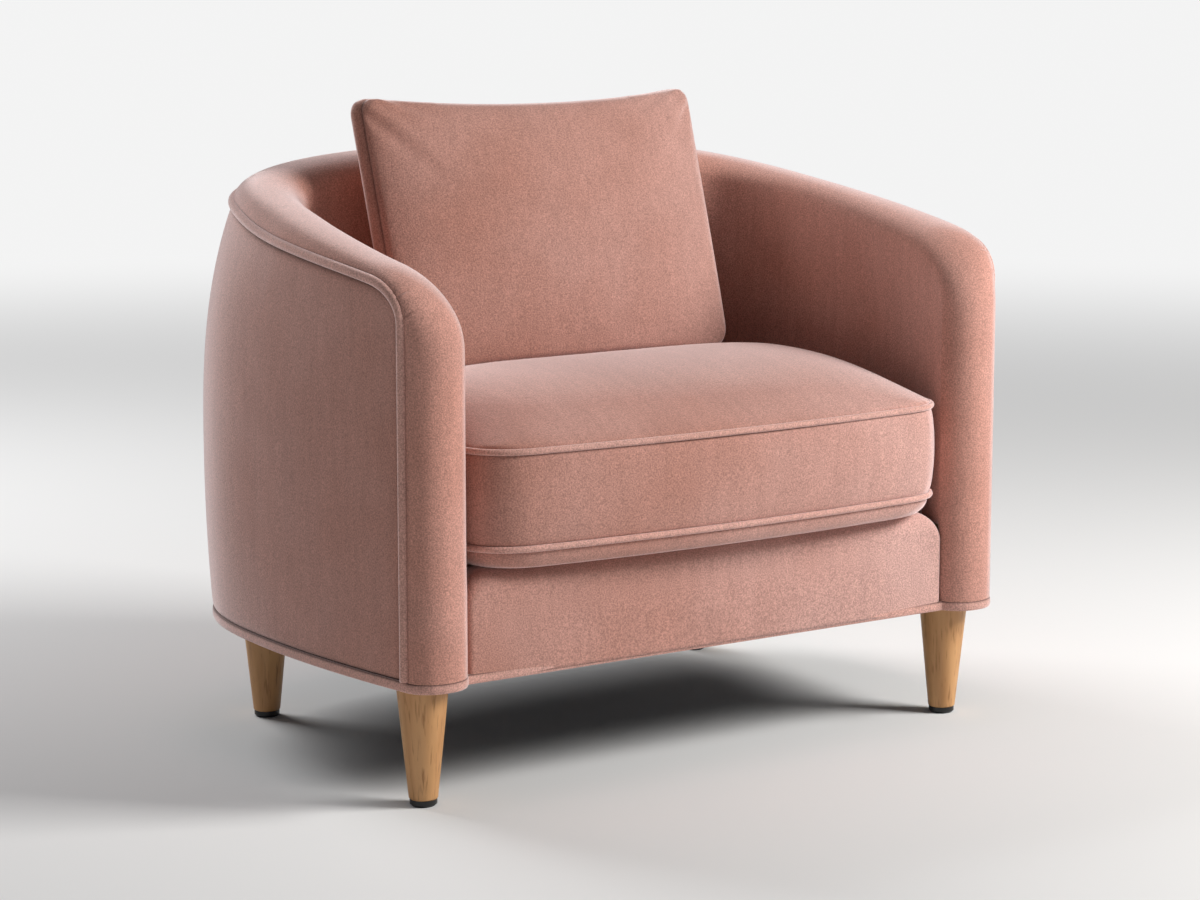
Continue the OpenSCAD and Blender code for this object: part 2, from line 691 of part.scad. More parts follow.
// Upholstered welt round the lower edge
welt_in = 1.1;
module base_welt() {
    color(velvet)
    translate([0, 0, base_z])
    difference() {
        union() {
            translate([0, 0, 2]) linear_extrude(band_h - 4) polygon(base_outline(welt_in + band_t));
            linear_extrude(band_h) polygon(base_outline(welt_in + band_t - 1.2));
        }
        translate([0, 0, -1]) linear_extrude(band_h + 2) polygon(base_outline(welt_in));
    }
}

// Thin cloth stapled under the base, cut out round the leg plates
module dust_cover() {
    color(lining)
    translate([0, 0, frame_z - floor_layer])
    difference() {
        linear_extrude(floor_layer) polygon(base_outline(-outer_t - 3));
        for (p = leg_places) translate([p[0], p[1], -1]) cylinder(h = floor_layer + 2, d = leg_top_d + 2);
    }
}

// Turned, tapered leg: a short straight foot, a long taper and a small round at the top
leg_h = base_z - glide_h;
module leg(p) {
    color(oak)
    translate([p[0], p[1], glide_h])
    difference() {
        rotate_extrude()
            polygon([[0, 0], [leg_bottom_d / 2 - 1.5, 0], [leg_bottom_d / 2, 1.5],
                     [leg_top_d / 2, leg_h - 2], [leg_top_d / 2 - 2, leg_h], [0, leg_h]]);
        translate([0, 0, leg_h - bolt_down - 2]) cylinder(h = bolt_down + 5, d = bolt_d + 2 * gap);
        translate([0, 0, -1]) cylinder(h = 16, d = 3.2);
    }
}
module leg_front_left() { leg(leg_places[0]); }
module leg_front_right() { leg(leg_places[1]); }
module leg_rear_left() { leg(leg_places[2]); }
module leg_rear_right() { leg(leg_places[3]); }

module leg_plates() {
    color(steel)
    for (p = leg_places) translate([p[0], p[1], base_z])
        difference() {
            cylinder(h = plate_t, d = plate_d);
            translate([0, 0, -1]) cylinder(h = plate_t + 2, d = bolt_d + 2 * gap);
            for (a = [45:90:315]) rotate([0, 0, a]) translate([plate_d / 2 - 7, 0, -1])
                cylinder(h = plate_t + 2, d = screw_d);
        }
}

module hanger_bolts() {
    color(steel)
    for (p = leg_places) translate([p[0], p[1], base_z - bolt_down])
        cylinder(h = bolt_down + plate_t + base_t + bolt_up, d = bolt_d);
}

// Flanged nuts on top of the base board
nut_h = 12;
module tee_nuts() {
    color(steel)
    for (p = leg_places) translate([p[0], p[1], board_z])
        difference() {
            union() {
                cylinder(h = 1.5, d = 20);
                translate([0, 0, 1.5 - nut_h]) cylinder(h = nut_h, d = bolt_d + 2.6);
            }
            translate([0, 0, -nut_h]) cylinder(h = nut_h + 5, d = bolt_d + 0.1);
        }
}

module plate_screws() {
    color(steel)
    for (p = leg_places, a = [45:90:315])
        translate([p[0], p[1], frame_z]) rotate([0, 0, a]) translate([plate_d / 2 - 7, 0, 0])
            cylinder(h = 12, d = 3);
}

module glides() {
    color(black)
    for (p = leg_places) translate([p[0], p[1], 0])
        difference() {
            rotate_extrude()
                polygon([[0, 0], [leg_bottom_d / 2 - 3.5, 0], [leg_bottom_d / 2 - 1, 2.5],
                         [leg_bottom_d / 2 - 1, glide_h], [0, glide_h]]);
            translate([0, 0, 3]) cylinder(h = glide_h, d = 3.2);
        }
}

module glide_nails() {
    color(steel)
    for (p = leg_places) translate([p[0], p[1], 3]) cylinder(h = glide_h + 8, d = 2.6);
}

// Half outline of the seat cushion from the middle of the front to the middle of the back: a bowed front,
// round front corners, straight sides and large rear corners that follow the inner panel
seat_half_w = min(half_front, half_w) - roll_w - seat_gap;
seat_front_y = panel_y - seat_overhang;
seat_low_z = deck_z + seat_sole;
seat_high_z = seat_low_z + seat_band;
seat_back_y = inner_back_y(seat_low_z + seat_band / 2) - seat_back_gap;
function bow(x) = seat_bow * (1 - pow(x / seat_half_w, 2));
seat_half = concat(
    [for (k = [0:3]) let (x = (seat_half_w - seat_corner_r) * k / 4) [x, seat_front_y - bow(x)]],
    [for (k = [0:4]) let (a = -90 + 22.5 * k, x = seat_half_w - seat_corner_r * (1 - cos(a)))
        [x, seat_front_y + seat_corner_r * (1 + sin(a)) - bow(x)]],
    [[seat_half_w, lerp(seat_front_y + seat_corner_r, seat_back_y - seat_rear_r, 0.5)]],
    [for (k = [0:4]) let (a = 22.5 * k)
        [seat_half_w - seat_rear_r * (1 - cos(a)), seat_back_y - seat_rear_r * (1 - sin(a))]],
    [[(seat_half_w - seat_rear_r) / 2, seat_back_y], [0, seat_back_y]]);
seat_loop = concat(seat_half, [for (k = [len(seat_half) - 2:-1:1]) [-seat_half[k][0], seat_half[k][1]]]);
seat_n = len(seat_loop);
seat_normals = [for (k = [0:seat_n - 1])
    let (t = unit(seat_loop[(k + 1) % seat_n] - seat_loop[(k + seat_n - 1) % seat_n])) [t[1], -t[0]]];
seat_mid_y = (seat_front_y - seat_bow + seat_back_y) / 2;
seat_half_d = (seat_back_y - seat_front_y + seat_bow) / 2;
// Height of the crowned top: flat-topped across, rounder from front to back
crown_across = 5.5;
crown_along = 2.2;
function crown_z(p) = seat_high_z + seat_crown
    * (1 - pow(min(1, abs(p[0] / seat_half_w)), crown_across))
    * (1 - pow(min(1, abs((p[1] - seat_mid_y) / seat_half_d)), crown_along));
// A ring of the seat's outline, scaled by s about its middle and grown by g
function seat_xy(k, s, g) = [0, seat_mid_y] + (seat_loop[k] - [0, seat_mid_y]) * s + seat_normals[k] * g;
function seat_ring(s, g, z) = [for (k = [0:seat_n - 1]) let (p = seat_xy(k, s, g)) [p[0], p[1], z]];
function crown_ring(s, drop) = [for (k = [0:seat_n - 1]) let (p = seat_xy(k, s, 0)) [p[0], p[1], crown_z(p) - drop]];
groove = seat_piping_r * sqrt(2) + 0.2;
function side_z(t) = lerp(seat_low_z, seat_high_z, t);
function seat_skin(c) = concat(
    [seat_ring(0.86, -c, seat_z + c), seat_ring(0.955, -c, seat_z + 6 + c)],
    c > 0 ? [] : [seat_ring(1, -2, seat_low_z - groove), seat_ring(1, -groove, seat_low_z)],
    [seat_ring(1, -c * 2, seat_low_z + groove),
     seat_ring(1, seat_bulge - c, side_z(0.5)),
     seat_ring(1, -c * 2, seat_high_z - groove)],
    c > 0 ? [] : [seat_ring(1, -groove, seat_high_z), seat_ring(1, -2.5, seat_high_z + groove)],
    [crown_ring(0.9, c), crown_ring(0.72, c), crown_ring(0.4, c)]);
seat_layer = 4;
module seat_solid(c) {
    pod([0, seat_mid_y, seat_z + c], seat_skin(c), [0, seat_mid_y, crown_z([0, seat_mid_y]) - c]);
}
module seat_cushion() {
    color(velvet) difference() { seat_solid(0); seat_solid(seat_layer); }
}
module seat_core() {
    color(foam_yellow) seat_solid(seat_layer + 0.8);
}
module seat_piping(z) {
    color(velvet) loop_tube(
        [for (p = seat_loop) [p[0], p[1], z]], [for (n = seat_normals) [n[0], n[1], 0]], [0, 0, 1], seat_piping_r, 5);
}
module seat_piping_top() { seat_piping(seat_high_z); }
module seat_piping_bottom() { seat_piping(seat_low_z); }

// Zip: a tape with a raised chain whose head is wider than its neck, so that the slider can grip it
tape_w = 24;
tape_t = 0.8;
neck_w = 3;
neck_t = 1.9;
head_w = 7;
head_t = 1.8;
module zip(length) {
    translate([-length / 2, 0, -tape_w / 2]) cube([length, tape_t, tape_w]);
    translate([-length / 2, tape_t, -neck_w / 2]) cube([length, neck_t, neck_w]);
    translate([-length / 2, tape_t + neck_t, -head_w / 2]) cube([length, head_t, head_w]);
    for (sx = [-1, 1]) translate([sx * (length / 2 - 2), 0, 0])
        translate([-2, tape_t, -head_w / 2 - 1]) cube([4, neck_t + head_t + 0.4, head_w + 2]);
}
slider_l = 14;
slider_wall = 1.3;
module slider(pull = -1) {
    top = tape_t + neck_t + head_t + gap;
    width = head_w + 2 * gap + 2 * slider_wall;
    difference() {
        translate([-slider_l / 2, tape_t + gap, -width / 2]) cube([slider_l, top + slider_wall - tape_t - gap, width]);
        translate([-slider_l, tape_t, -neck_w / 2 - gap]) cube([2 * slider_l, neck_t + 1, neck_w + 2 * gap]);
        translate([-slider_l, tape_t + neck_t - gap, -head_w / 2 - gap])
            cube([2 * slider_l, head_t + 2 * gap, head_w + 2 * gap]);
    }
    translate([-2, top + slider_wall, pull > 0 ? -4 : -26]) cube([4, 1.2, 30]);
}

seat_zip_l = 380;
seat_zip_y = seat_back_y + seat_bulge + gap;
seat_zip_z = side_z(0.5);
slider_home = 12;
module seat_zip() {
    color(black) translate([0, seat_zip_y, seat_zip_z]) zip(seat_zip_l);
}
module seat_zip_slider() {
    color(steel) translate([seat_zip_l / 2 - slider_home, seat_zip_y, seat_zip_z]) slider();
}

// Back cushion in its own plane: x across, q up its slope, r out of its front seam
pillow_rest = 0.5;
pillow_top_r = 18;
pillow_low_r = 42;
pillow_dip = 18;
pillow_half_w = half_w - pillow_side;
pillow_foot_w = pillow_half_w - pillow_taper;
pillow_z = seat_high_z + pillow_sit;
pillow_y = back_y - top_inset - roll_back_w - pillow_gap
    - (pillow_strip + pillow_back_crown) * cos(pillow_lean) - (rim_back_z - pillow_z) * tan(pillow_lean);
pillow_up = [0, sin(pillow_lean), cos(pillow_lean)];
pillow_out = [0, -cos(pillow_lean), sin(pillow_lean)];
function pillow_at(x, q, r, c) = let (
        p = [x, pillow_y, pillow_z] + pillow_up * q + pillow_out * r)
    [p[0], p[1], max(p[2], crown_z(p) + pillow_rest + c)];
function dip(x) = pillow_dip * (1 - pow(x / pillow_half_w, 2));
pillow_half = concat(
    [[0, 0], [(pillow_foot_w - pillow_low_r) / 2, 0]],
    [for (k = [0:3]) let (a = -90 + 30 * k)
        [pillow_foot_w - pillow_low_r * (1 - cos(a)), pillow_low_r * (1 + sin(a))]],
    [[(pillow_foot_w + pillow_half_w) / 2, pillow_h / 2]],
    [for (k = [0:3]) let (a = 30 * k, x = pillow_half_w - pillow_top_r * (1 - cos(a)))
        [x, pillow_h - pillow_top_r * (1 - sin(a)) - dip(x)]],
    [for (k = [2, 1, 0]) let (x = (pillow_half_w - pillow_top_r) * k / 3) [x, pillow_h - dip(x)]]);
pillow_loop = concat(pillow_half, [for (k = [len(pillow_half) - 2:-1:1]) [-pillow_half[k][0], pillow_half[k][1]]]);
pillow_mid = [0, pillow_h / 2];
pillow_n = len(pillow_loop);
pillow_normals = [for (k = [0:pillow_n - 1])
    let (t = unit(pillow_loop[(k + 1) % pillow_n] - pillow_loop[(k + pillow_n - 1) % pillow_n])) [t[1], -t[0]]];
function puff(p) = (1 - pow(min(1, abs(p[0] / pillow_half_w)), 2.6))
    * (1 - pow(min(1, abs(p[1] - pillow_h / 2) / (pillow_h / 2)), 2.6));
function pillow_ring(s, g, r, crown, c) = [for (k = [0:pillow_n - 1])
    let (p = pillow_mid + (pillow_loop[k] - pillow_mid) * s + pillow_normals[k] * g)
    pillow_at(p[0], p[1], r + crown * puff(p), c)];
pillow_layer = 3;
module pillow_solid(c) {
    rear = -pillow_strip + c;
    pod(pillow_at(0, pillow_h / 2, rear - pillow_back_crown, c),
        [pillow_ring(0.5, -c, rear, -pillow_back_crown, c), pillow_ring(0.85, -c, rear, -pillow_back_crown, c),
         pillow_ring(1, -c - 2, rear, 0, c),
         pillow_ring(1, 3 - c, -pillow_strip / 2, 0, c),
         pillow_ring(1, -c - 1, -c, 0, c),
         pillow_ring(0.85, -c, -c, pillow_crown, c), pillow_ring(0.5, -c, -c, pillow_crown, c)],
        pillow_at(0, pillow_h / 2, -c + pillow_crown, c));
}
module back_cushion() {
    color(velvet) difference() { pillow_solid(0); pillow_solid(pillow_layer); }
}
module back_core() {
    color([0.95, 0.95, 0.93]) pillow_solid(pillow_layer + 1);
}

// The back cushion's zip lies on its rear face, just above the lower seam
back_zip_l = 300;
module on_pillow_back() {
    seam = pillow_at(0, 2, -pillow_strip, 0);
    above = pillow_mid[1] * 0.15;
    face = pillow_at(0, above, -pillow_strip - pillow_back_crown * puff([0, above]), 0);
    tilt = atan2(face[1] - seam[1], face[2] - seam[2]);
    translate((seam + face) / 2 + 3 * gap * [0, cos(tilt), -sin(tilt)]) rotate([-tilt, 0, 0]) children();
}
module back_zip() {
    color(black) on_pillow_back() zip(back_zip_l);
}
module back_zip_slider() {
    color(steel) on_pillow_back() translate([back_zip_l / 2 - slider_home, 0, 0]) slider(1);
}

base_board();
front_rail();
rear_rail();
side_rail_left();
side_rail_right();
corner_blocks();
arm_board_left();
arm_board_right();
rim_rail();
shell_ribs();
frame_screws();
springs();
spring_clips();
spring_tie_wires();
deck_cloth();
deck_pad();
roll_foam();
inner_foam();
front_foam();
outer_cover();
roll_cover();
inner_panel();
front_panel();
shell_piping();
base_welt();
dust_cover();
leg_front_left();
leg_front_right();
leg_rear_left();
leg_rear_right();
leg_plates();
hanger_bolts();
tee_nuts();
plate_screws();
glides();
glide_nails();
seat_cushion();
seat_core();
seat_piping_top();
seat_piping_bottom();
seat_zip();
seat_zip_slider();
back_cushion();
back_core();
back_zip();
back_zip_slider();
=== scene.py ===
import math

import bmesh
import bpy
import numpy as np
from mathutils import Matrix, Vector


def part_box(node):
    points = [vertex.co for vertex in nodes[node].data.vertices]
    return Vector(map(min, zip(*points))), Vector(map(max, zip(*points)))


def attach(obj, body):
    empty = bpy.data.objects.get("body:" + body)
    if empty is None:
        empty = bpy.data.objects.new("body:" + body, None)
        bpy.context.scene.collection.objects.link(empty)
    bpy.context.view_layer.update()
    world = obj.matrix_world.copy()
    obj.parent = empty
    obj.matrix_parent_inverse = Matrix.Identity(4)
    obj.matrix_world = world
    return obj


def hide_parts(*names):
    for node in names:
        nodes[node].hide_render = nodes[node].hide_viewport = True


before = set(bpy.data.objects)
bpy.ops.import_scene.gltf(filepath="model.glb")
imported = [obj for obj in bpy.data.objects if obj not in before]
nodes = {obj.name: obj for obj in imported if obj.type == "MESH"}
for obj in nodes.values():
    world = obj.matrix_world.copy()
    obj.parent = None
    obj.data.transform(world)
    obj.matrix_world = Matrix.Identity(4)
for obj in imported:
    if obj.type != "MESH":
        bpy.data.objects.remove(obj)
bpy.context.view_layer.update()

scene = bpy.context.scene

# Camera: it stands to the left of the chair's front, about 4 m away, and looks slightly down at it. Its
# place, turn and lens (in millimetres) were worked out from the legs' feet, the front panel's corners and
# the seat's pipings in the photograph.
camera_place, camera_down, camera_turn = (-2.1643, -3.2168, 0.9774), 0.1627, 0.600
sensor_width, lens_length, sight = 36, 92.84, 100
photo_camera = bpy.data.objects.new("photo_camera", bpy.data.cameras.new("photo_camera"))
photo_camera.data.sensor_width = sensor_width
photo_camera.data.lens = lens_length
photo_camera.data.clip_end = sight
photo_camera.location = camera_place
photo_camera.rotation_euler = (math.pi / 2 - camera_down, 0, -camera_turn)
scene.collection.objects.link(photo_camera)
scene.camera = photo_camera
scene.view_settings.view_transform = "Standard"


# Studio: a pale floor that fades into a pale backdrop, a large soft lamp high on the right of the front,
# another from behind that lights the rims and grazes the sides, and a low even light all round.
def soft_lamp(name, place, target, size, power, colour):
    """A square lamp of that size and power at a place, facing a target."""
    lamp = bpy.data.lights.new(name, "AREA")
    lamp.shape = "SQUARE"
    lamp.size = size
    lamp.energy = power
    lamp.color = colour
    holder = bpy.data.objects.new(name, lamp)
    away = np.array(place, float) - np.array(target, float)
    holder.location = place
    holder.rotation_euler = (math.acos(away[2] / np.linalg.norm(away)), 0,
                             math.atan2(away[0], -away[1]))
    scene.collection.objects.link(holder)


soft_lamp("key_lamp", (2.1, -2.15, 2.2), (0.1, 0, 0.4), 1.3, 136, (1, 0.985, 0.96))
soft_lamp("back_lamp", (-0.9, 2.8, 2.4), (0, 0, 0.5), 1.8, 82, (1, 1, 1))

# The camera sees the pale backdrop, also through glass. All other rays see the low light.
backdrop_colour = (0.9, 0.9, 0.9, 1)
world = bpy.data.worlds.new("studio")
scene.world = world
world.use_nodes = True
tree = world.node_tree
tree.nodes.clear()
out = tree.nodes.new("ShaderNodeOutputWorld")
seen = tree.nodes.new("ShaderNodeBackground")
seen.inputs["Color"].default_value = backdrop_colour
seen.inputs["Strength"].default_value = 1
lit = tree.nodes.new("ShaderNodeBackground")
lit.inputs["Color"].default_value = (0.96, 0.97, 1, 1)
lit.inputs["Strength"].default_value = 0.12
path = tree.nodes.new("ShaderNodeLightPath")
either = tree.nodes.new("ShaderNodeMath")
either.operation = "MAXIMUM"
mix = tree.nodes.new("ShaderNodeMixShader")
tree.links.new(path.outputs["Is Camera Ray"], either.inputs[0])
tree.links.new(path.outputs["Is Transmission Ray"], either.inputs[1])
tree.links.new(either.outputs[0], mix.inputs["Fac"])
tree.links.new(lit.outputs[0], mix.inputs[1])
tree.links.new(seen.outputs[0], mix.inputs[2])
tree.links.new(mix.outputs[0], out.inputs["Surface"])

floor_mesh = bpy.data.meshes.new("studio_floor")
floor_reach, floor_sides = 40, 96
fades_from, fades_to = 1.2, 6
floor_mesh.from_pydata([(floor_reach * math.cos(2 * math.pi * k / floor_sides),
                         floor_reach * math.sin(2 * math.pi * k / floor_sides), 0)
                        for k in range(floor_sides)], [], [tuple(range(floor_sides))])
studio_floor = bpy.data.objects.new("studio_floor", floor_mesh)
scene.collection.objects.link(studio_floor)
paper = bpy.data.materials.new("backdrop_paper")
paper.use_nodes = True
tree = paper.node_tree
tree.nodes.clear()
out = tree.nodes.new("ShaderNodeOutputMaterial")
matt = tree.nodes.new("ShaderNodeBsdfDiffuse")
matt.inputs["Color"].default_value = (0.8, 0.8, 0.8, 1)
far = tree.nodes.new("ShaderNodeEmission")
far.inputs["Color"].default_value = backdrop_colour
where = tree.nodes.new("ShaderNodeTexCoord")
reach = tree.nodes.new("ShaderNodeVectorMath")
reach.operation = "LENGTH"
fade = tree.nodes.new("ShaderNodeMapRange")
fade.interpolation_type = "SMOOTHSTEP"
fade.inputs["From Min"].default_value = fades_from
fade.inputs["From Max"].default_value = fades_to
mix = tree.nodes.new("ShaderNodeMixShader")
tree.links.new(where.outputs["Object"], reach.inputs[0])
tree.links.new(reach.outputs["Value"], fade.inputs["Value"])
tree.links.new(fade.outputs["Result"], mix.inputs["Fac"])
tree.links.new(matt.outputs[0], mix.inputs[1])
tree.links.new(far.outputs[0], mix.inputs[2])
tree.links.new(mix.outputs[0], out.inputs["Surface"])
floor_mesh.materials.append(paper)


# Outer cover: cotton velvet over thin wadding, pulled round the sides and the back in one piece, turned in
# under the piping at the top and under the welt at the base. Sizes are in metres.
half_w, half_front = 0.460, 0.431
rim_y, curve_y, back_y = -0.294, -0.011, 0.348
side_power, curve_power, lean_power, corner_power = 1.65, 2.95, 2.75, 2.3
base_z, frame_z, widest_z = 0.144, 0.147, 0.351
rim_front_z, rim_back_z, rim_ease, rim_swell = 0.582, 0.691, 1.74, 0.0045
corner_r, corner_h = 0.077, 0.056
base_inset, top_inset, draw_run = 0.0084, 0.053, 0.460
square_run = 0.130


def smooth(t):
    """0 below 0, 1 above 1 and 3t2 - 2t3 between."""
    t = np.clip(t, 0, 1)
    return t * t * (3 - 2 * t)


t = np.linspace(0, 1, 1200, endpoint=False)
a = np.linspace(0, np.pi / 2, 2400)
plan_x = np.r_[half_w - (half_w - half_front) * (1 - t) ** side_power,
               half_w * np.cos(a).clip(0) ** (2 / curve_power)]
plan_y = np.r_[rim_y + (curve_y - rim_y) * t, curve_y + (back_y - curve_y) * np.sin(a) ** (2 / curve_power)]
plan_run = np.r_[0, np.cumsum(np.hypot(np.diff(plan_x), np.diff(plan_y)))]
full_run = plan_run[-1]
even_run = np.linspace(0, full_run, 900)
even_x, even_y = np.interp(even_run, plan_run, plan_x), np.interp(even_run, plan_run, plan_y)
step_x, step_y = np.gradient(even_x, even_run), np.gradient(even_y, even_run)
turn = smooth(even_run / square_run)
normal_x = 1 + (step_y - 1) * turn
normal_y = -step_x * turn
length = np.hypot(normal_x, normal_y)
normal_x, normal_y = normal_x / length, normal_y / length


def plan_at(u):
    """Point, outward direction and distance behind the arm's front on the shell's outline at its widest. u
    runs from -1 at the left arm's front, over 0 in the middle of the back, to 1 at the right arm's front. A
    side bows out by a power and is followed by a quarter of a superellipse."""
    run = full_run * (1 - np.abs(u))
    side = np.where(u < 0, -1.0, 1.0)
    return (side * np.interp(run, even_run, even_x), np.interp(run, even_run, even_y),
            side * np.interp(run, even_run, normal_x), np.interp(run, even_run, normal_y), run)


def rim_z(run):
    """Height of the frame's rim: a slow climb to the back with a swell, less a quarter superellipse at the
    arm's front."""
    share = run / full_run
    corner = 1 - (1 - (1 - np.clip(run / corner_r, 0, 1)) ** corner_power).clip(0) ** (1 / corner_power)
    return (rim_front_z + (rim_back_z - rim_front_z) * (1 - (1 - share) ** rim_ease)
            + 4 * rim_swell * share * (1 - share) - corner_h * corner)


def seam_z(run):
    """Height of the piping, which lies higher on the arms than the frame's rim inside: the same climb with a
    smaller and rounder corner, raised towards the front, with a slight sag behind it."""
    plain = rim_z(np.maximum(run, corner_r)) + (rim_slope * (run - corner_r)).clip(None, 0)
    corner = (1 - np.clip(run / seam_corner_r, 0, 1)) ** seam_corner_power
    corner = 1 - (1 - corner) ** (1 / seam_corner_power)
    sag = seam_sag * np.exp(-((run - seam_sag_run) / seam_sag_reach) ** 2)
    return plain + seam_rise * (1 - smooth(run / seam_rise_run)) - sag - seam_corner_h * corner


seam_rise, seam_rise_run = 0.0148, 0.30
seam_sag, seam_sag_run, seam_sag_reach = 0.0024, 0.33, 0.07
seam_corner_r, seam_corner_h, seam_corner_power = 0.0586, 0.039, 2.3
rim_slope = float(rim_z(np.array(corner_r + 0.01)) - rim_z(np.array(corner_r))) / 0.01


def wall_point(u, z, depth):
    """Point of the outer wall at a height, a depth inside it: the wall draws in with the square of the
    distance below its widest height and with a higher power above it, and not at all at the arm's front."""
    x, y, nx, ny, run = plan_at(u)
    low = base_inset * (np.clip(widest_z - z, 0, None) / (widest_z - base_z)) ** 2
    high = top_inset * (np.clip(z - widest_z, 0, None) / (rim_back_z - widest_z)) ** lean_power
    d = smooth(run / draw_run) * (low + high) + depth
    return np.stack([x - nx * d, y - ny * d, z + 0 * d], -1)


def quads_between(index, loop=False):
    """Quads between neighbours in a grid of vertex numbers. With loop the last column joins the first."""
    right = np.roll(index, -1, 1) if loop else index[:, 1:]
    left = index if loop else index[:, :-1]
    return np.stack([left[:-1], right[:-1], right[1:], left[1:]], -1).reshape(-1, 4)


def mesh_object(name, points, quads):
    """A smooth-shaded mesh of these points and quads."""
    mesh = bpy.data.meshes.new(name)
    mesh.from_pydata(points, [], quads.tolist())
    mesh.shade_smooth()
    obj = bpy.data.objects.new(name, mesh)
    scene.collection.objects.link(obj)
    return obj


def skin(name, grid, inner=None, loop=False):
    """A mesh with one vertex for each point of a grid of rows and columns. Faces are turned so that on the
    whole they look away from the point inner."""
    points = grid.reshape(-1, 3)
    quads = quads_between(np.arange(len(points)).reshape(grid.shape[:2]), loop)
    if inner is not None:
        p = points[quads]
        n = np.cross(p[:, 2] - p[:, 0], p[:, 3] - p[:, 1])
        if np.sum(n * (p.mean(1) - np.array(inner))) < 0:
            quads = quads[:, ::-1]
    return mesh_object(name, points, quads)


def close_with_thickness(obj, thickness):
    """Gives an open skin a wall of that thickness on its inner side, with closed edges."""
    wall = obj.modifiers.new("wall", "SOLIDIFY")
    wall.thickness = thickness
    wall.offset = -1
    wall.use_quality_normals = True


def even_columns(half_count, height):
    """Values of u from -1 to 1 that lie evenly spaced along a line of that height round the rim, and closer
    together at the arms' front corners."""
    run = full_run * np.linspace(0, 1, 4000) ** 2.5
    step = np.hypot(np.diff(run), np.diff(height(run)))
    closer = 1 + corner_closer * (1 - smooth((np.cumsum(step) - corner_span) / corner_fade))
    along = np.r_[0, np.cumsum(step * closer)]
    half = np.interp(np.linspace(0, along[-1], half_count), along, run) / full_run - 1
    return np.r_[half, -half[-2::-1]]


corner_closer, corner_span, corner_fade = 3, 0.10, 0.06
# Pale colour of the painted sheen, towards which the velvet turns where it is seen edge on.
painted_sheen_pale = (0.80, 0.565, 0.53)
patch_scale, stroke_scale, haze_scale, tuft_scale = 16, 90, 6, 560


def new_stuff(name):
    """A new material, with its nodes, its surface shader and the object's own coordinates."""
    material = bpy.data.materials.new(name)
    material.use_nodes = True
    tree = material.node_tree
    where = tree.nodes.new("ShaderNodeTexCoord").outputs["Object"]
    return material, tree, tree.nodes["Principled BSDF"], where


def noise(tree, where, scale, detail, stretch=(1, 1, 1)):
    """A noise of that scale, drawn out along the axes where stretch is small."""
    mapping = tree.nodes.new("ShaderNodeMapping")
    mapping.inputs["Scale"].default_value = stretch
    texture = tree.nodes.new("ShaderNodeTexNoise")
    texture.inputs["Scale"].default_value = scale
    texture.inputs["Detail"].default_value = detail
    tree.links.new(where, mapping.inputs["Vector"])
    tree.links.new(mapping.outputs[0], texture.inputs["Vector"])
    return texture.outputs["Fac"]


def ranged(tree, value, old_low, old_high, low=0, high=1):
    """The value spread from one range to another, and kept within it."""
    spread = tree.nodes.new("ShaderNodeMapRange")
    spread.inputs["From Min"].default_value = old_low
    spread.inputs["From Max"].default_value = old_high
    spread.inputs["To Min"].default_value = low
    spread.inputs["To Max"].default_value = high
    tree.links.new(value, spread.inputs["Value"])
    return spread.outputs["Result"]


def roughen(tree, shader, height, strength, distance):
    """Lets the surface rise with a height."""
    bump = tree.nodes.new("ShaderNodeBump")
    bump.inputs["Strength"].default_value = strength
    bump.inputs["Distance"].default_value = distance
    tree.links.new(height, bump.inputs["Height"])
    tree.links.new(bump.outputs[0], shader.inputs["Normal"])


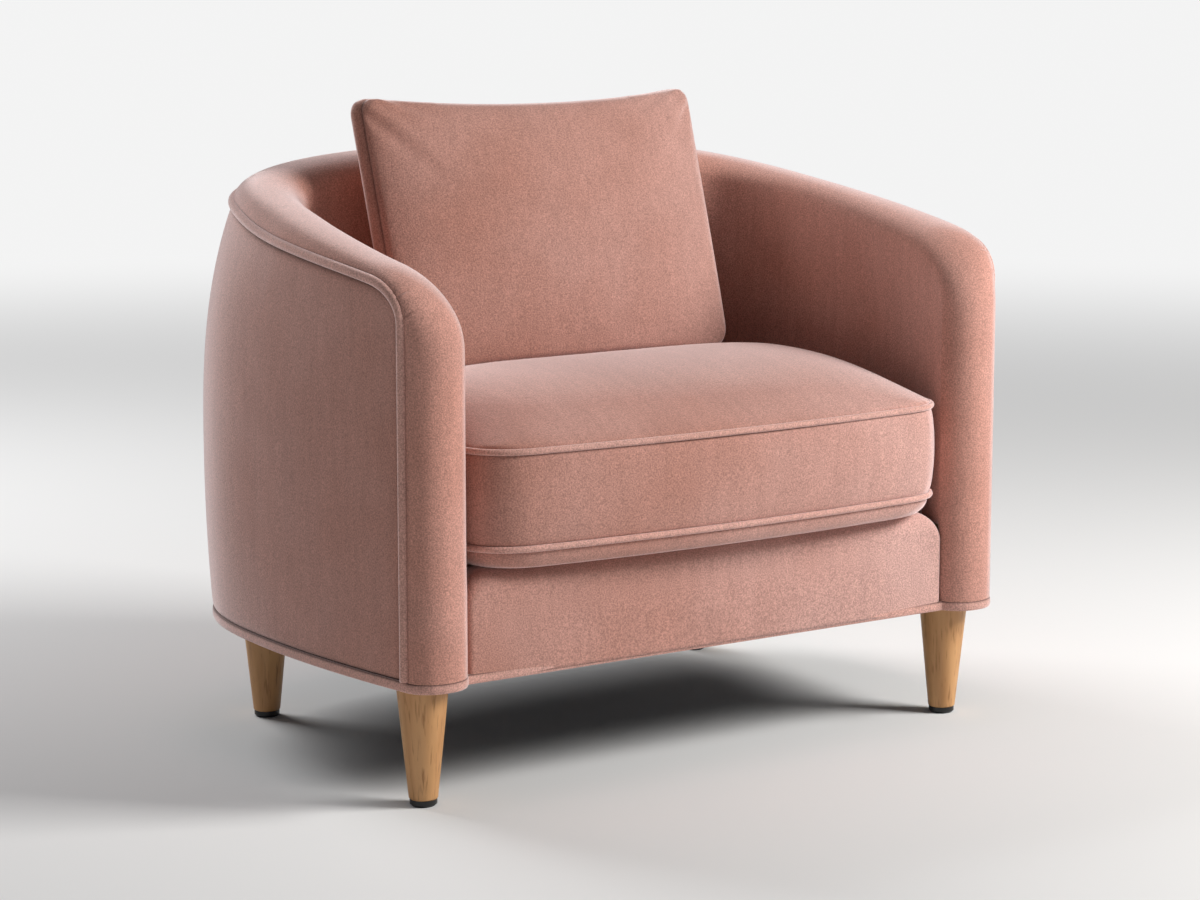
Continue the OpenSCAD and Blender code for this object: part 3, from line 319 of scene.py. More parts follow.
def velvet(name, colour, streaks=(1, 1, 0.14), painted_right_light=0.0):
    """Short-pile velvet. Its colour is mixed towards the pale colour of a painted sheen by a sum: how far it
    is seen edge on, which paints the sheen, a wide noise, and a share that grows from left to right, which
    paints light falling from the right. The mix is multiplied by patches of some centimetres, by faint
    strokes drawn out along the axes where streaks is small, by a fine grain of tufts, and by 0.3 where the
    mesh's crease value is 1, painted shade in the crease of a seam."""
    material, tree, shader, where = new_stuff(name)

    def shaded(low, high, *noise_values):
        """A noise, most of which lies between 0.3 and 0.7, spread from low to high."""
        return ranged(tree, noise(tree, where, *noise_values), 0.3, 0.7, low, high)

    def joined(operation, first, second):
        """Two values multiplied or added. A sum ends at 1."""
        result = tree.nodes.new("ShaderNodeMath")
        result.operation = operation
        result.use_clamp = operation == "ADD"
        tree.links.new(first, result.inputs[0])
        tree.links.new(second, result.inputs[1])
        return result.outputs[0]

    # Painted shade: the colour is darkened to 0.3 in the creases of seams, where the mesh's crease value is
    # 1.
    tucked = tree.nodes.new("ShaderNodeAttribute")
    tucked.attribute_name = "tucked"
    tone = ranged(tree, tucked.outputs["Fac"], 0, 1, 1, 0.3)
    for part in (shaded(0.97, 1.03, patch_scale, 3), shaded(0.95, 1.05, stroke_scale, 3, streaks),
                 shaded(0.72, 1.28, tuft_scale, 2)):
        tone = joined("MULTIPLY", part, tone)
    # Painted sheen: the colour turns pale where the surface is seen edge on.
    edge_on = tree.nodes.new("ShaderNodeLayerWeight")
    edge_on.inputs["Blend"].default_value = 0.5
    paleness = joined("ADD", ranged(tree, edge_on.outputs["Facing"], 0.55, 1), shaded(0, 0.14, haze_scale, 2))
    # Painted light from the right: the colour turns paler from left to right, by the share given.
    axes = tree.nodes.new("ShaderNodeSeparateXYZ")
    tree.links.new(where, axes.inputs[0])
    paleness = joined("ADD", paleness, ranged(tree, axes.outputs["X"], -0.15, 0.36, 0, painted_right_light))
    paled_colour = tree.nodes.new("ShaderNodeMix")
    paled_colour.data_type = "VECTOR"
    paled_colour.inputs["A"].default_value = colour
    paled_colour.inputs["B"].default_value = painted_sheen_pale
    tree.links.new(paleness, paled_colour.inputs["Factor"])
    shade = tree.nodes.new("ShaderNodeVectorMath")
    shade.operation = "SCALE"
    tree.links.new(paled_colour.outputs["Result"], shade.inputs[0])
    tree.links.new(tone, shade.inputs["Scale"])
    tree.links.new(shade.outputs[0], shader.inputs["Base Color"])
    shader.inputs["Roughness"].default_value = 0.9
    shader.inputs["Specular IOR Level"].default_value = 0.1
    shader.inputs["Sheen Weight"].default_value = 1
    shader.inputs["Sheen Roughness"].default_value = 0.38
    shader.inputs["Sheen Tint"].default_value = (1, 0.86, 0.86, 1)
    roughen(tree, shader, noise(tree, where, tuft_scale, 2), 0.5, 0.0008)
    return material


pink = (0.44, 0.214, 0.166)
wall_velvet = velvet("wall_velvet", pink)

piping_r, cover_t = 0.0056, 0.003
welt_h = 0.012
under_piping = 0.4
cover_inset, tuck = 0.0005, 0.0030
tuck_at_seam, tuck_at_welt, tuck_at_front = 0.0035, 0.003, 0.006
dark_at_seam, dark_at_welt = 0.0022, 0.0012
columns = even_columns(276, seam_z)
# The rows lie closer towards the piping and across the seam above the welt, where the velvet is tucked in.
near_seam = np.array([0.020, 0.016, 0.0125, 0.010, 0.008, 0.0065, 0.0052, 0.0042, 0.0034, 0.0026, 0.0018,
                      0.0009, 0])
near_foot = np.array([0, 0.004, 0.007, 0.009, 0.010, 0.011, 0.012, 0.0135, 0.016])
run = full_run * (1 - np.abs(columns))
slope = np.abs(np.gradient(seam_z(run), columns)) / full_run
seam = seam_z(run) - under_piping * piping_r * np.hypot(1, np.clip(slope, 0, 4))
share = np.linspace(0, 1, 64)[1:-1, None]
Z = np.concatenate([frame_z + near_foot[:, None] + 0 * seam,
                    (frame_z + near_foot[-1]) * (1 - share) + (seam - near_seam[0]) * share,
                    seam - near_seam[:, None]])
U = np.broadcast_to(columns, Z.shape)
run = np.broadcast_to(run, Z.shape)
below_cord = seam - Z - (1 - under_piping) * piping_r
above_welt = np.abs(Z - (base_z + welt_h))
depth = cover_inset + tuck * (np.exp(-np.clip(below_cord, 0, None) / tuck_at_seam)
                              + np.exp(-above_welt / tuck_at_welt) + np.exp(-run / tuck_at_front))
cover_grid = wall_point(U, Z, depth)
cover_grid[..., 1] += np.clip(piping_r * under_piping - run, 0, None)
outer = skin("outer_velvet", cover_grid, inner=(0, 0, 0.4))


def set_tucked(obj, values):
    """Gives each vertex its value of the attribute that paints shade into the velvet in a crease."""
    layer = obj.data.attributes.new("tucked", "FLOAT", "POINT")
    layer.data.foreach_set("value", np.clip(values, 0, 1).astype(np.float32).ravel())


# Painted shade: the velvet darkens next to the cord and just above the welt, in the creases of the seams.
cord_edge = np.clip(run - piping_r, 0, None)
set_tucked(outer, np.exp(-np.clip(np.minimum(below_cord, cord_edge), 0, None) / dark_at_seam)
           + np.exp(-above_welt / dark_at_welt))
close_with_thickness(outer, cover_t)
outer.data.materials.append(wall_velvet)
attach(outer, "shell")
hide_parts("outer_cover")


# Shell piping: velvet cut on the bias round a cord and sewn between the outer cover and the pad's cover,
# from the welt up one arm front, round the whole rim and down the other arm front.
def rim_path(front_z, top_u, height):
    """A line up the left arm's front, round the rim at a height that depends on the run, and down the right
    arm's front. With it come the direction inwards over the pad, the direction out of the pad (square to
    the line and to inwards), u and z."""
    u = np.r_[-np.ones(len(front_z)), top_u, np.ones(len(front_z))]
    z = np.r_[front_z, height(full_run * (1 - np.abs(top_u))), front_z[::-1]]
    place = wall_point(u, z, 0)
    nx, ny = plan_at(u)[2:4]
    inwards = np.stack([-nx, -ny, 0 * nx], -1)
    along = np.gradient(place, axis=0)
    out = np.cross(inwards, along)
    out /= np.linalg.norm(out, axis=1, keepdims=True)
    return place, inwards, out, u, z


def weld(obj):
    """Joins the points that coincide and turns all faces of the closed form outwards."""
    b = bmesh.new()
    b.from_mesh(obj.data)
    bmesh.ops.remove_doubles(b, verts=b.verts, dist=1e-5)
    bmesh.ops.recalc_face_normals(b, faces=b.faces)
    b.to_mesh(obj.data)
    b.free()
    obj.data.shade_smooth()


def tube(name, place, first, second, radius, facing, sides=24, loop=False):
    """A round cord: a circle of that radius in the plane of two directions, carried along the path. Painted
    shade darkens it in its creases, beyond cord_open degrees from the direction facing, which is an angle
    from first towards second. An open cord is closed at its ends by rings that shrink to the middle."""
    angle = np.linspace(0, 2 * np.pi, sides, endpoint=False)
    ring = first[:, None] * np.cos(angle)[None, :, None] + second[:, None] * np.sin(angle)[None, :, None]
    grid = place[:, None] + ring * radius
    if loop:
        grid = np.concatenate([grid, grid[:1]])
    else:
        grid = np.concatenate([grid[:1] * 0 + place[0], grid, grid[:1] * 0 + place[-1]])
    obj = skin(name, grid, loop=True)
    turned = np.degrees(np.arccos(np.cos(angle - facing)))
    set_tucked(obj, np.broadcast_to(smooth((turned - cord_open) / cord_crease), grid.shape[:2]))
    weld(obj)
    return obj


cord_open, cord_crease, piping_faces = 95, 20, 135
seam_low_z = float(seam_z(np.array(0.0)))
# The piping's velvet is the walls' cloth painted paler, a painted highlight of the sheen on the round cord.
piping_velvet = velvet("piping_velvet", (0.58, 0.32, 0.265))
off_welt = 0.0004
foot_rows = np.linspace(base_z + welt_h + off_welt, seam_low_z, 70, endpoint=False)
place, inwards, out_way, u, z = rim_path(foot_rows, even_columns(360, seam_z), seam_z)
shell_piping = tube("rim_piping", place, inwards, out_way, piping_r, np.radians(piping_faces))
shell_piping.data.materials.append(piping_velvet)
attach(shell_piping, "shell")
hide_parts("shell_piping")


# Arm and back pad: foam on the rim and on the inside of the arms and back under one velvet cover. It rolls
# over the rim in half an ellipse, wider at the back, and runs down inside to the deck.
roll_w, roll_back_w = 0.079, 0.130
roll_front_rise, roll_rise = 0.032, 0.028
roll_dent, dent_reach, dark_at_cord = 0.0012, 0.006, 0.0009
inner_slope = 0.1
tuck_z, deck_fade = 0.2534, 0.03
softened, soft_rounds = 0.09, 70


def roll_width(u):
    """Width of the roll across the rim: from 0.35 to 0.85 of the way to the back it grows smoothly."""
    return roll_w + (roll_back_w - roll_w) * smooth((1 - np.abs(u) - 0.35) / 0.5)


def roll_point(place, inwards, out, u, lift, angle, depth):
    """Point of the roll, a depth below its surface: half an ellipse from the piping at angle 0 to the wall
    at pi, whose piping side is lifted while its top stays where it is."""
    w = (roll_width(u) / 2)[:, None, None]
    rise = (roll_front_rise + (roll_rise - roll_front_rise) * np.clip(out[:, 2], 0, 1))[:, None, None]
    lift = lift[:, None, None]
    c, s = np.cos(angle)[None, :, None], np.sin(angle)[None, :, None]
    depth = depth[..., None]
    return (place[:, None] + inwards[:, None] * (w - (w - depth) * c)
            + out[:, None] * ((rise - lift / 2 - depth) * s + lift * (1 + c) / 2))


def seam_lift(run, z, out):
    """How far the piping lies from the frame's rim at each of its points, along the direction out, found by
    halving a range until it ends where the piping's line is crossed. It fades out along the arm."""
    low, high = np.full(len(run), -0.006), np.full(len(run), 0.040)
    for step in range(30):
        lift = (low + high) / 2
        moved = run + out[:, 1] * lift
        inside = (moved >= 0) & (z + out[:, 2] * lift <= seam_z(np.maximum(moved, 0)))
        low, high = np.where(inside, lift, low), np.where(inside, high, lift)
    return np.where(run > 0, low, 0) * (1 - smooth((run - 0.36) / 0.08))


def inner_point(u, z, depth=0.0):
    """Point of the inner wall at a height, a depth behind it: straight down from the roll's inner edge on
    the arms, and from half way to the back on sloping forward a little."""
    run = full_run * (1 - np.abs(u))
    top = wall_point(u, rim_z(run), roll_width(u) - depth)
    nx, ny = plan_at(u)[2:4]
    d = inner_slope * smooth(((1 - np.abs(u)) - 0.5) / 0.35) * (rim_z(run) - z)
    return np.stack([top[..., 0] - nx * d, top[..., 1] - ny * d, z + 0 * d], -1)


gather_w, gather_lean = 0.0015, 0.09


def gathers(along, across):
    """Short creases that start at the piping on the arm's front corner, where the cover is eased round the
    bend: a narrow ridge across the seam with a dip above it, both bell curves, for each place along the rim,
    length and depth. They start beside the cord and fade away from it."""
    dips = 0 * along * across
    for place, length, deep in ((0.4118, 0.022, 0.0012), (0.4309, 0.026, 0.0012), (0.4380, 0.016, 0.0007),
                                (0.4440, 0.014, 0.0005)):
        q = (along - place - gather_lean * across) / gather_w
        crease = np.exp(-(q - 1.5) ** 2) - 0.9 * np.exp(-q ** 2)
        dips = dips + deep * crease * smooth((length - across) / 0.010) * smooth((across - 0.005) / 0.004)
    return dips


# The roll's grid follows the rim's path. The inner wall's grid, whose rows lie closer towards the rim,
# shares the points of the roll's inner edge. Both are one skin, which is then smoothed where they meet.
rim_low_z = float(rim_z(np.array(0.0)))
foot_count, wall_count, turn_count = 26, 56, 49
t = np.linspace(0, 1, wall_count)
wall_closer = 0.55
wall_share = 1 - (1 - t) * (1 - wall_closer * t)
top_columns = even_columns(320, rim_z)
front_z = np.r_[np.linspace(frame_z, tuck_z, foot_count, endpoint=False),
                tuck_z + (rim_low_z - tuck_z) * wall_share[:-1]]
place, inwards, out_way, u, z = rim_path(front_z, top_columns, rim_z)
lift = seam_lift(full_run * (1 - np.abs(u)), z, out_way)
angle = np.linspace(0, np.pi, turn_count)
across = (roll_width(u) / 2)[:, None] * (1 - np.cos(angle))[None]
climb = np.r_[0, np.cumsum(np.linalg.norm(np.diff(place, axis=0), axis=1))]
climb = np.minimum(climb, climb[-1] - climb)
cord_centre = place + out_way * lift[:, None]
roll_grid = roll_point(place, inwards, out_way, u, lift, angle, 0 * across)
from_cord = np.linalg.norm(roll_grid - cord_centre[:, None], axis=2)
dent = roll_dent * np.exp(-from_cord / dent_reach) + gathers(climb[:, None], from_cord)
roll_grid = roll_point(place, inwards, out_way, u, lift, angle, dent)
roll_index = np.arange(len(u) * turn_count).reshape(len(u), turn_count)

U, R = np.meshgrid(top_columns, wall_share)
run = full_run * (1 - np.abs(U))
Z = tuck_z + (rim_z(run) - tuck_z) * R
wall_grid = inner_point(U, Z)
edge = roll_index[:, -1]
rise = slice(foot_count, len(front_z))
wall_index = np.full(U.shape, -1)
wall_index[-1] = edge[len(front_z):-len(front_z)]
wall_index[:-1, 0] = edge[rise]
wall_index[:-1, -1] = edge[::-1][rise]
fresh = wall_index < 0
wall_index[fresh] = roll_index.size + np.arange(fresh.sum())

# How much each point is smoothed: it grows from a quarter to three quarters of the way round the roll and
# fades on the wall over the distance softened. At the deck nothing is smoothed.
above_deck = smooth((place[:, 2] - tuck_z) / deck_fade)[:, None]
roll_soft = smooth((angle / np.pi - 0.25) / 0.5)[None] * above_deck
wall_soft = np.maximum(1 - smooth((rim_z(run) - Z) / softened), 1 - smooth(run / softened))
wall_soft = wall_soft * smooth((Z - tuck_z) / deck_fade)


def face_towards(obj, point):
    """Turns all faces of an open skin the same way, so that on the whole they look towards a point."""
    b = bmesh.new()
    b.from_mesh(obj.data)
    bmesh.ops.recalc_face_normals(b, faces=b.faces)
    b.normal_update()
    if sum(f.calc_area() * f.normal.dot(f.calc_center_median() - point) for f in b.faces) > 0:
        bmesh.ops.reverse_faces(b, faces=b.faces)
    b.to_mesh(obj.data)
    b.free()
    obj.data.shade_smooth()


def give_weights(obj, name, weights):
    """A vertex group in which each vertex has its own weight, in even steps."""
    count = 32
    group = obj.vertex_groups.new(name=name)
    steps = np.round(np.clip(weights, 0, 1) * count).astype(int)
    for step in range(1, count + 1):
        group.add(np.flatnonzero(steps == step).tolist(), step / count, "REPLACE")


pad = mesh_object("arm_and_back_pad", np.concatenate([roll_grid.reshape(-1, 3), wall_grid[fresh]]),
                  np.concatenate([quads_between(roll_index), quads_between(wall_index)]))
face_towards(pad, Vector((0, -0.1, 0.75)))
give_weights(pad, "softened", np.r_[(roll_soft + 0 * across).ravel(), wall_soft[fresh]])
# Painted shade: the pad's velvet darkens next to the cord, in the seam's crease.
beside_cord = 0.75 * np.exp(-np.clip(from_cord - piping_r, 0, None) / dark_at_cord)
set_tucked(pad, np.r_[beside_cord.ravel(), np.zeros(fresh.sum())])
ease = pad.modifiers.new("ease", "SMOOTH")
ease.factor = 0.5
ease.iterations = soft_rounds
ease.vertex_group = "softened"
close_with_thickness(pad, cover_t)
# The pad wears the walls' cloth painted paler, a painted light on the roll and the inner walls.
pad.data.materials.append(velvet("pad_velvet", (0.52, 0.253, 0.196)))
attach(pad, "shell")
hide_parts("roll_cover", "inner_panel")

# Front panel: a padded velvet board between the arms, under the seat cushion. Its upper corners are round,
# its top edge rolls back to the deck and its upright edges are lightly rounded.
panel_y, panel_half, deck_z = -0.303, 0.3515, 0.272
panel_corner, edge_top, edge_side = 0.038, 0.024, 0.008
panel_d, panel_t, panel_puff, puff_fade = 0.0447, 0.002, 0.0015, 0.05
panel_back = panel_y + panel_d


def panel_arch(shrink):
    """The panel's edge from its right foot over the top to its left foot, moved inwards by a distance: x and
    z of each point. The distance has one value for each point of the right foot and corner."""
    x = np.r_[np.full(foot_points, panel_half), panel_half - panel_corner + panel_corner * np.cos(arc)]
    z = np.r_[np.linspace(frame_z, deck_z - panel_corner, foot_points, endpoint=False),
              deck_z - panel_corner + panel_corner * np.sin(arc)]
    way_x, way_z = np.r_[np.ones(foot_points), np.cos(arc)], np.r_[np.zeros(foot_points), np.sin(arc)]
    right = np.stack([x - way_x * shrink, z - way_z * shrink], -1)
    top = right[-1] * np.stack([np.linspace(1, -1, top_points), np.ones(top_points)], -1)
    return np.concatenate([right, top[1:-1], right[::-1] * (-1, 1)])


foot_points, top_points = 28, 90
arc = np.linspace(0, np.pi / 2, 26)
edge_r = edge_side + (edge_top - edge_side) * smooth(np.r_[np.zeros(foot_points), arc / (np.pi / 2)])
whole_edge_r = np.r_[edge_r, np.full(top_points - 2, edge_top), edge_r[::-1]]
outline = panel_arch(0 * edge_r)
loops = [np.stack([outline[:, 0], np.full(len(outline), panel_back), outline[:, 1]], -1)]
edge_rings = 14
for a in np.linspace(0, np.pi / 2, edge_rings):
    ring = panel_arch(edge_r * (1 - math.cos(a)))
    loops.append(np.stack([ring[:, 0], panel_y + whole_edge_r * (1 - math.sin(a)), ring[:, 1]], -1))
face_edge = loops[-1]
along = np.r_[0, np.cumsum(np.linalg.norm(np.diff(face_edge, axis=0), axis=1))]
foot_half = panel_half - edge_side - 0.004
foot_line = np.stack([foot_half * (1 - 2 * along / along[-1]),
                      np.full(len(outline), panel_y), np.full(len(outline), frame_z)], -1)
loops += [face_edge + (foot_line - face_edge) * t for t in np.linspace(0, 1, 24)[1:]]
panel_grid = np.array(loops)
puffed = ((1 - (panel_grid[..., 0] / panel_half) ** 4).clip(0)
          * smooth((deck_z - edge_top - panel_grid[..., 2]) / puff_fade))
panel_grid[edge_rings:, :, 1] -= panel_puff * puffed[edge_rings:]
front = skin("front_panel_velvet", panel_grid, inner=(0, 0.2, 0.2))
close_with_thickness(front, panel_t)
# The panel's velvet is painted paler towards the right, a painted light from the right.
front.data.materials.append(velvet("panel_velvet", pink, painted_right_light=0.35))
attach(front, "shell")
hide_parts("front_panel")


# Base welt: a padded strip of velvet round the lower edge, with a seam above it. The strip of the front is
# sewn to that of the arms beside the front panel.
def base_line(grow):
    """Outline of the shell at its base, grown by a distance, anticlockwise from the middle of the front: the
    front panel's line, half an ellipse round each arm's front, then the side and the back."""
    w = roll_w / 2
    stop = np.pi - np.arcsin((rim_y - panel_y + grow) / (roll_front_rise + grow))
    a = np.linspace(stop, 0, 60)
    arm = np.stack([half_front - w + (w + grow) * np.cos(a),
                    rim_y - (roll_front_rise + grow) * np.sin(a)], -1)
    line = np.stack([np.linspace(0, arm[0, 0], 80), np.full(80, arm[0, 1])], -1)[:-1]
    u = np.linspace(1, 0, 500)[1:]
    side = wall_point(u, np.full(len(u), base_z), -grow)[:, :2]
    half = np.concatenate([line, arm, side])
    return np.concatenate([half, half[-2:0:-1] * (-1, 1)])


def evenly(points, count):
    """A closed line's points placed again at even steps."""
    whole = np.concatenate([points, points[:1]])
    along = np.r_[0, np.cumsum(np.linalg.norm(np.diff(whole, axis=0), axis=1))]
    steps = np.linspace(0, along[-1], count, endpoint=False)
    return np.stack([np.interp(steps, along, whole[:, k]) for k in range(whole.shape[1])], -1)


def rounded_off(points, reach):
    """A closed line's points averaged over their neighbours up to half of reach on each side, with weights
    that fall off like a raised cosine."""
    kernel = np.hanning(reach + 2)[1:-1]
    half = reach // 2
    wrapped = np.concatenate([points[-half:], points, points[:half]])
    return np.stack([np.convolve(wrapped[:, k], kernel / kernel.sum(), "valid")
                     for k in range(points.shape[1])], -1)


def outward_ways(points):
    """Unit directions square to a closed line in x and y, away from its inside if it runs anticlockwise."""
    along = np.roll(points, -1, 0) - np.roll(points, 1, 0)
    ways = np.stack([along[:, 1], -along[:, 0]], -1)
    return ways / np.linalg.norm(ways, axis=1, keepdims=True)


# Each cross section is a half round that stands out from the line, closed by a root inside it. The strip is
# pinched where it is sewn, beside the panel. Points behind the arms' fronts count as 1 m farther from there.
welt_t, welt_inset = 0.0022, 0.001
root_in, root_half_h = 0.003, 0.0054
sewn_x, sewn_y, sewn_half_w, sewn_pinch = 0.353, -0.28, 0.0016, 0.4
line = rounded_off(evenly(base_line(-welt_inset), 1400), 7)
ways = outward_ways(line)
a = np.linspace(-np.pi / 2, np.pi / 2, 21)
bulge = np.r_[-root_in, welt_t * np.cos(a).clip(0) ** 0.7, -root_in]
height = base_z + welt_h / 2 + np.r_[-root_half_h, welt_h / 2 * np.sin(a), root_half_h]
from_joint = np.abs(np.abs(line[:, 0]) - sewn_x) + np.where(line[:, 1] < sewn_y, 0, 1)
pinch = 1 - sewn_pinch * np.exp(-(from_joint / sewn_half_w) ** 2)
stand = np.where(bulge > 0, bulge * pinch[:, None], bulge)
grid = np.dstack([line[:, None] + ways[:, None] * stand[..., None], np.broadcast_to(height, stand.shape)])
grid = np.concatenate([grid, grid[:1]])
welt = skin("base_welt_velvet", grid, loop=True)
# Painted shade darkens the top of the welt, in the crease of its seam. The welt wears the piping's velvet,
# painted paler as a painted highlight.
set_tucked(welt, np.exp(-np.clip(base_z + welt_h - dark_at_welt - grid[..., 2], 0, None) / dark_at_cord))
weld(welt)
welt.data.materials.append(piping_velvet)
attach(welt, "shell")
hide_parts("base_welt")

# Deck: the padded platform under the loose seat cushion, covered in the same velvet. It fills the room
# between the inner wall and the front panel, a little clear of both, with a small round edge on top.
clear_of_wall, clear_of_panel = 0.002, 0.0015
deck_low_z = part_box("deck_pad")[0][2] + 0.0005
u = np.linspace(-0.98, 0.98, 300)
edge = inner_point(u, np.full(len(u), deck_z))[:, :2] - clear_of_wall * np.stack(plan_at(u)[2:4], -1)
edge = edge[edge[:, 1] > panel_back + 0.004]
front_edge = np.stack([np.linspace(edge[-1, 0], edge[0, 0], 120),
                       np.full(120, panel_back + clear_of_panel)], -1)
edge = np.concatenate([edge, front_edge])
middle = np.array([0, -0.05])
rings = [(0, deck_low_z), (1, deck_low_z), (1, deck_z - 0.006)]
rings += [(0.9985, deck_z - 0.0025), (0.995, deck_z - 0.0008)]
rings += [(share, deck_z) for share in (0.985, 0.9, 0.75, 0.55, 0.3, 0.12, 0)]
grid = np.array([np.c_[middle + (edge - middle) * share, np.full(len(edge), z)] for share, z in rings])
deck = skin("deck_velvet", grid, loop=True)
weld(deck)
deck.data.materials.append(velvet("deck_velvet_cloth", pink))
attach(deck, "shell")
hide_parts("deck_pad")

# Seat cushion: a foam block in a boxed velvet cover, crowned on top, with a side band that bulges between
# two pipings. Its front bows forward and its rear corners are round to follow the pad.
seat_half_w, seat_front_y, seat_back_y = 0.342, -0.323, 0.1171
seat_bow, seat_corner_r, seat_rear_r = 0.021, 0.055, 0.150
seat_low_z, seat_high_z, seat_z = 0.298, 0.410, 0.2723
seat_crown, seat_bulge, seat_piping_r = 0.065, 0.005, 0.0038
crown_across, crown_along = 5.5, 2.2
full_across, full_along = 7.0, 2.35
full_from_y, full_within = -0.02, 0.08
seat_groove, seat_groove_reach = 0.0035, 0.0045
sole_flat, sole_round = 0.93, 0.068


def seat_outline():
    """Outline of the seat at its pipings, evenly spaced and anticlockwise from the middle of the front: a
    parabolic bow, round front corners, straight sides, rounder rear corners."""
    x = np.linspace(0, seat_half_w - seat_corner_r, 60)[:-1]
    first = np.stack([x, seat_front_y + 0 * x], -1)
    a = np.linspace(-np.pi / 2, 0, 40)
    second = np.stack([seat_half_w - seat_corner_r * (1 - np.cos(a)),
                       seat_front_y + seat_corner_r * (1 + np.sin(a))], -1)
    for part in (first, second):
        part[:, 1] -= seat_bow * (1 - (part[:, 0] / seat_half_w) ** 2)
    a = np.linspace(0, np.pi / 2, 60)
    third = np.stack([seat_half_w - seat_rear_r * (1 - np.cos(a)),
                      seat_back_y - seat_rear_r * (1 - np.sin(a))], -1)
    half = np.concatenate([first, second, third, [[0, seat_back_y]]])
    return rounded_off(evenly(np.concatenate([half, half[-2:0:-1] * (-1, 1)]), 720), 25)


seat_mid_y = (seat_front_y - seat_bow + seat_back_y) / 2
seat_half_d = (seat_back_y - seat_front_y + seat_bow) / 2


def crown_z(x, y):
    """Height of the crowned top: one less a high power of the way to the side, times one less a lower power
    of the way to the front or back. In front of the back cushion the powers rise, for fuller shoulders."""
    u = np.clip(np.abs(x / seat_half_w), 0, 1)
    v = np.clip(np.abs((y - seat_mid_y) / seat_half_d), 0, 1)
    plain = (1 - u ** crown_across) * (1 - v ** crown_along)
    full = (1 - u ** full_across) * (1 - v ** full_along)
    return seat_high_z + seat_crown * (plain + (full - plain) * smooth((full_from_y - y) / full_within))


seat_p = seat_outline()
seat_n = outward_ways(seat_p)
seat_mid = np.array([0, seat_mid_y])


def seat_ring(share, grow, z):
    """The seat's outline scaled about its middle and grown by a distance, at a height."""
    xy = seat_mid + (seat_p - seat_mid) * share + seat_n * grow
    return np.c_[xy, np.broadcast_to(z, len(xy))]


def crown_ring(share):
    """The seat's outline scaled about its middle, on the crowned top."""
    xy = seat_mid + (seat_p - seat_mid) * share
    return np.c_[xy, crown_z(xy[:, 0], xy[:, 1])]


rings = [seat_ring(share, 0, seat_z) for share in (0, 0.2, 0.4, 0.6, 0.75, 0.84, 0.9)]
for t in np.linspace(0.05, 1, 12):
    rings.append(seat_ring(sole_flat + sole_round * math.sin(t * math.pi / 2), 0,
                           seat_z + (seat_low_z - seat_z) * (1 - math.cos(t * math.pi / 2))))
for t in np.linspace(0, 1, 26)[1:-1]:
    rings.append(seat_ring(1, seat_bulge * (1 - (2 * t - 1) ** 2),
                           seat_low_z + (seat_high_z - seat_low_z) * t))
rings += [crown_ring(1 - t) for t in np.linspace(0, 1, 60) ** 1.2]
seat = skin("seat_cushion_velvet", np.array(rings), loop=True)
weld(seat)


def points_of(obj):
    """The mesh's vertices as an array."""
    flat = np.empty(len(obj.data.vertices) * 3)
    obj.data.vertices.foreach_get("co", flat)
    return flat.reshape(-1, 3)


def place_points(obj, points):
    """Moves the mesh's vertices to these points."""
    obj.data.vertices.foreach_set("co", points.ravel())
    obj.data.update()


def normals_of(obj):
    """The mesh's vertex normals as an array."""
    flat = np.empty(len(obj.data.vertices) * 3)
    obj.data.vertex_normals.foreach_get("vector", flat)
    return flat.reshape(-1, 3)


def apply_modifiers(obj):
    """Puts what the modifiers make into the mesh itself and removes them."""
    made = bpy.data.meshes.new_from_object(obj.evaluated_get(bpy.context.evaluated_depsgraph_get()))
    old = obj.data
    obj.modifiers.clear()
    obj.data = made
    bpy.data.meshes.remove(old)


even_size, cloth_steps, cloth_stretch, cloth_bend, held_reach = 0.0055, 5, 25, 2, 0.006


def fill_out(obj, held, most, pressure=4.0, frames=20):
    """Blows a closed cover up as its filling does. The cover is remeshed evenly, and Blender's cloth swells
    it with a pressure and no gravity, held where the function held gives points weights near 1. No point
    ends farther than most from where it began. One subdivision rounds the result."""
    remesh = obj.modifiers.new("even", "REMESH")
    remesh.mode = "VOXEL"
    remesh.voxel_size = even_size
    apply_modifiers(obj)
    start = points_of(obj)
    give_weights(obj, "held", held(start))
    cloth = obj.modifiers.new("filling", "CLOTH")
    cloth.settings.quality = cloth_steps
    cloth.settings.use_pressure = True
    cloth.settings.uniform_pressure_force = pressure
    cloth.settings.effector_weights.gravity = 0
    cloth.settings.vertex_group_mass = "held"
    cloth.settings.tension_stiffness = cloth_stretch
    cloth.settings.compression_stiffness = cloth_stretch
    cloth.settings.bending_stiffness = cloth_bend
    cloth.point_cache.frame_end = frames
    for step in range(1, frames + 1):
        scene.frame_set(step)
    apply_modifiers(obj)
    scene.frame_set(1)
    obj.vertex_groups.clear()
    move = points_of(obj) - start
    far = np.linalg.norm(move, axis=1, keepdims=True) + 1e-9
    place_points(obj, start + move * (most * np.tanh(far / most) / far))
    rounder = obj.modifiers.new("rounder", "SUBSURF")
    rounder.levels = rounder.render_levels = 1
    apply_modifiers(obj)
    obj.data.shade_smooth()


def seat_seams(p):
    """Weights near 1 at the heights of the two pipings and below the lower one, where the seat rests."""
    near = (np.exp(-((p[:, 2] - seat_high_z) / held_reach) ** 2)
            + np.exp(-((p[:, 2] - seat_low_z) / held_reach) ** 2))
    return near + smooth((seat_low_z - p[:, 2]) / 0.012)


fill_out(seat, seat_seams, most=0.008)
p = points_of(seat)
by_seam = (np.exp(-np.abs(p[:, 2] - seat_high_z) / seat_groove_reach)
           + np.exp(-np.abs(p[:, 2] - seat_low_z) / seat_groove_reach))
p -= normals_of(seat) * (seat_groove * by_seam)[:, None]
place_points(seat, p)
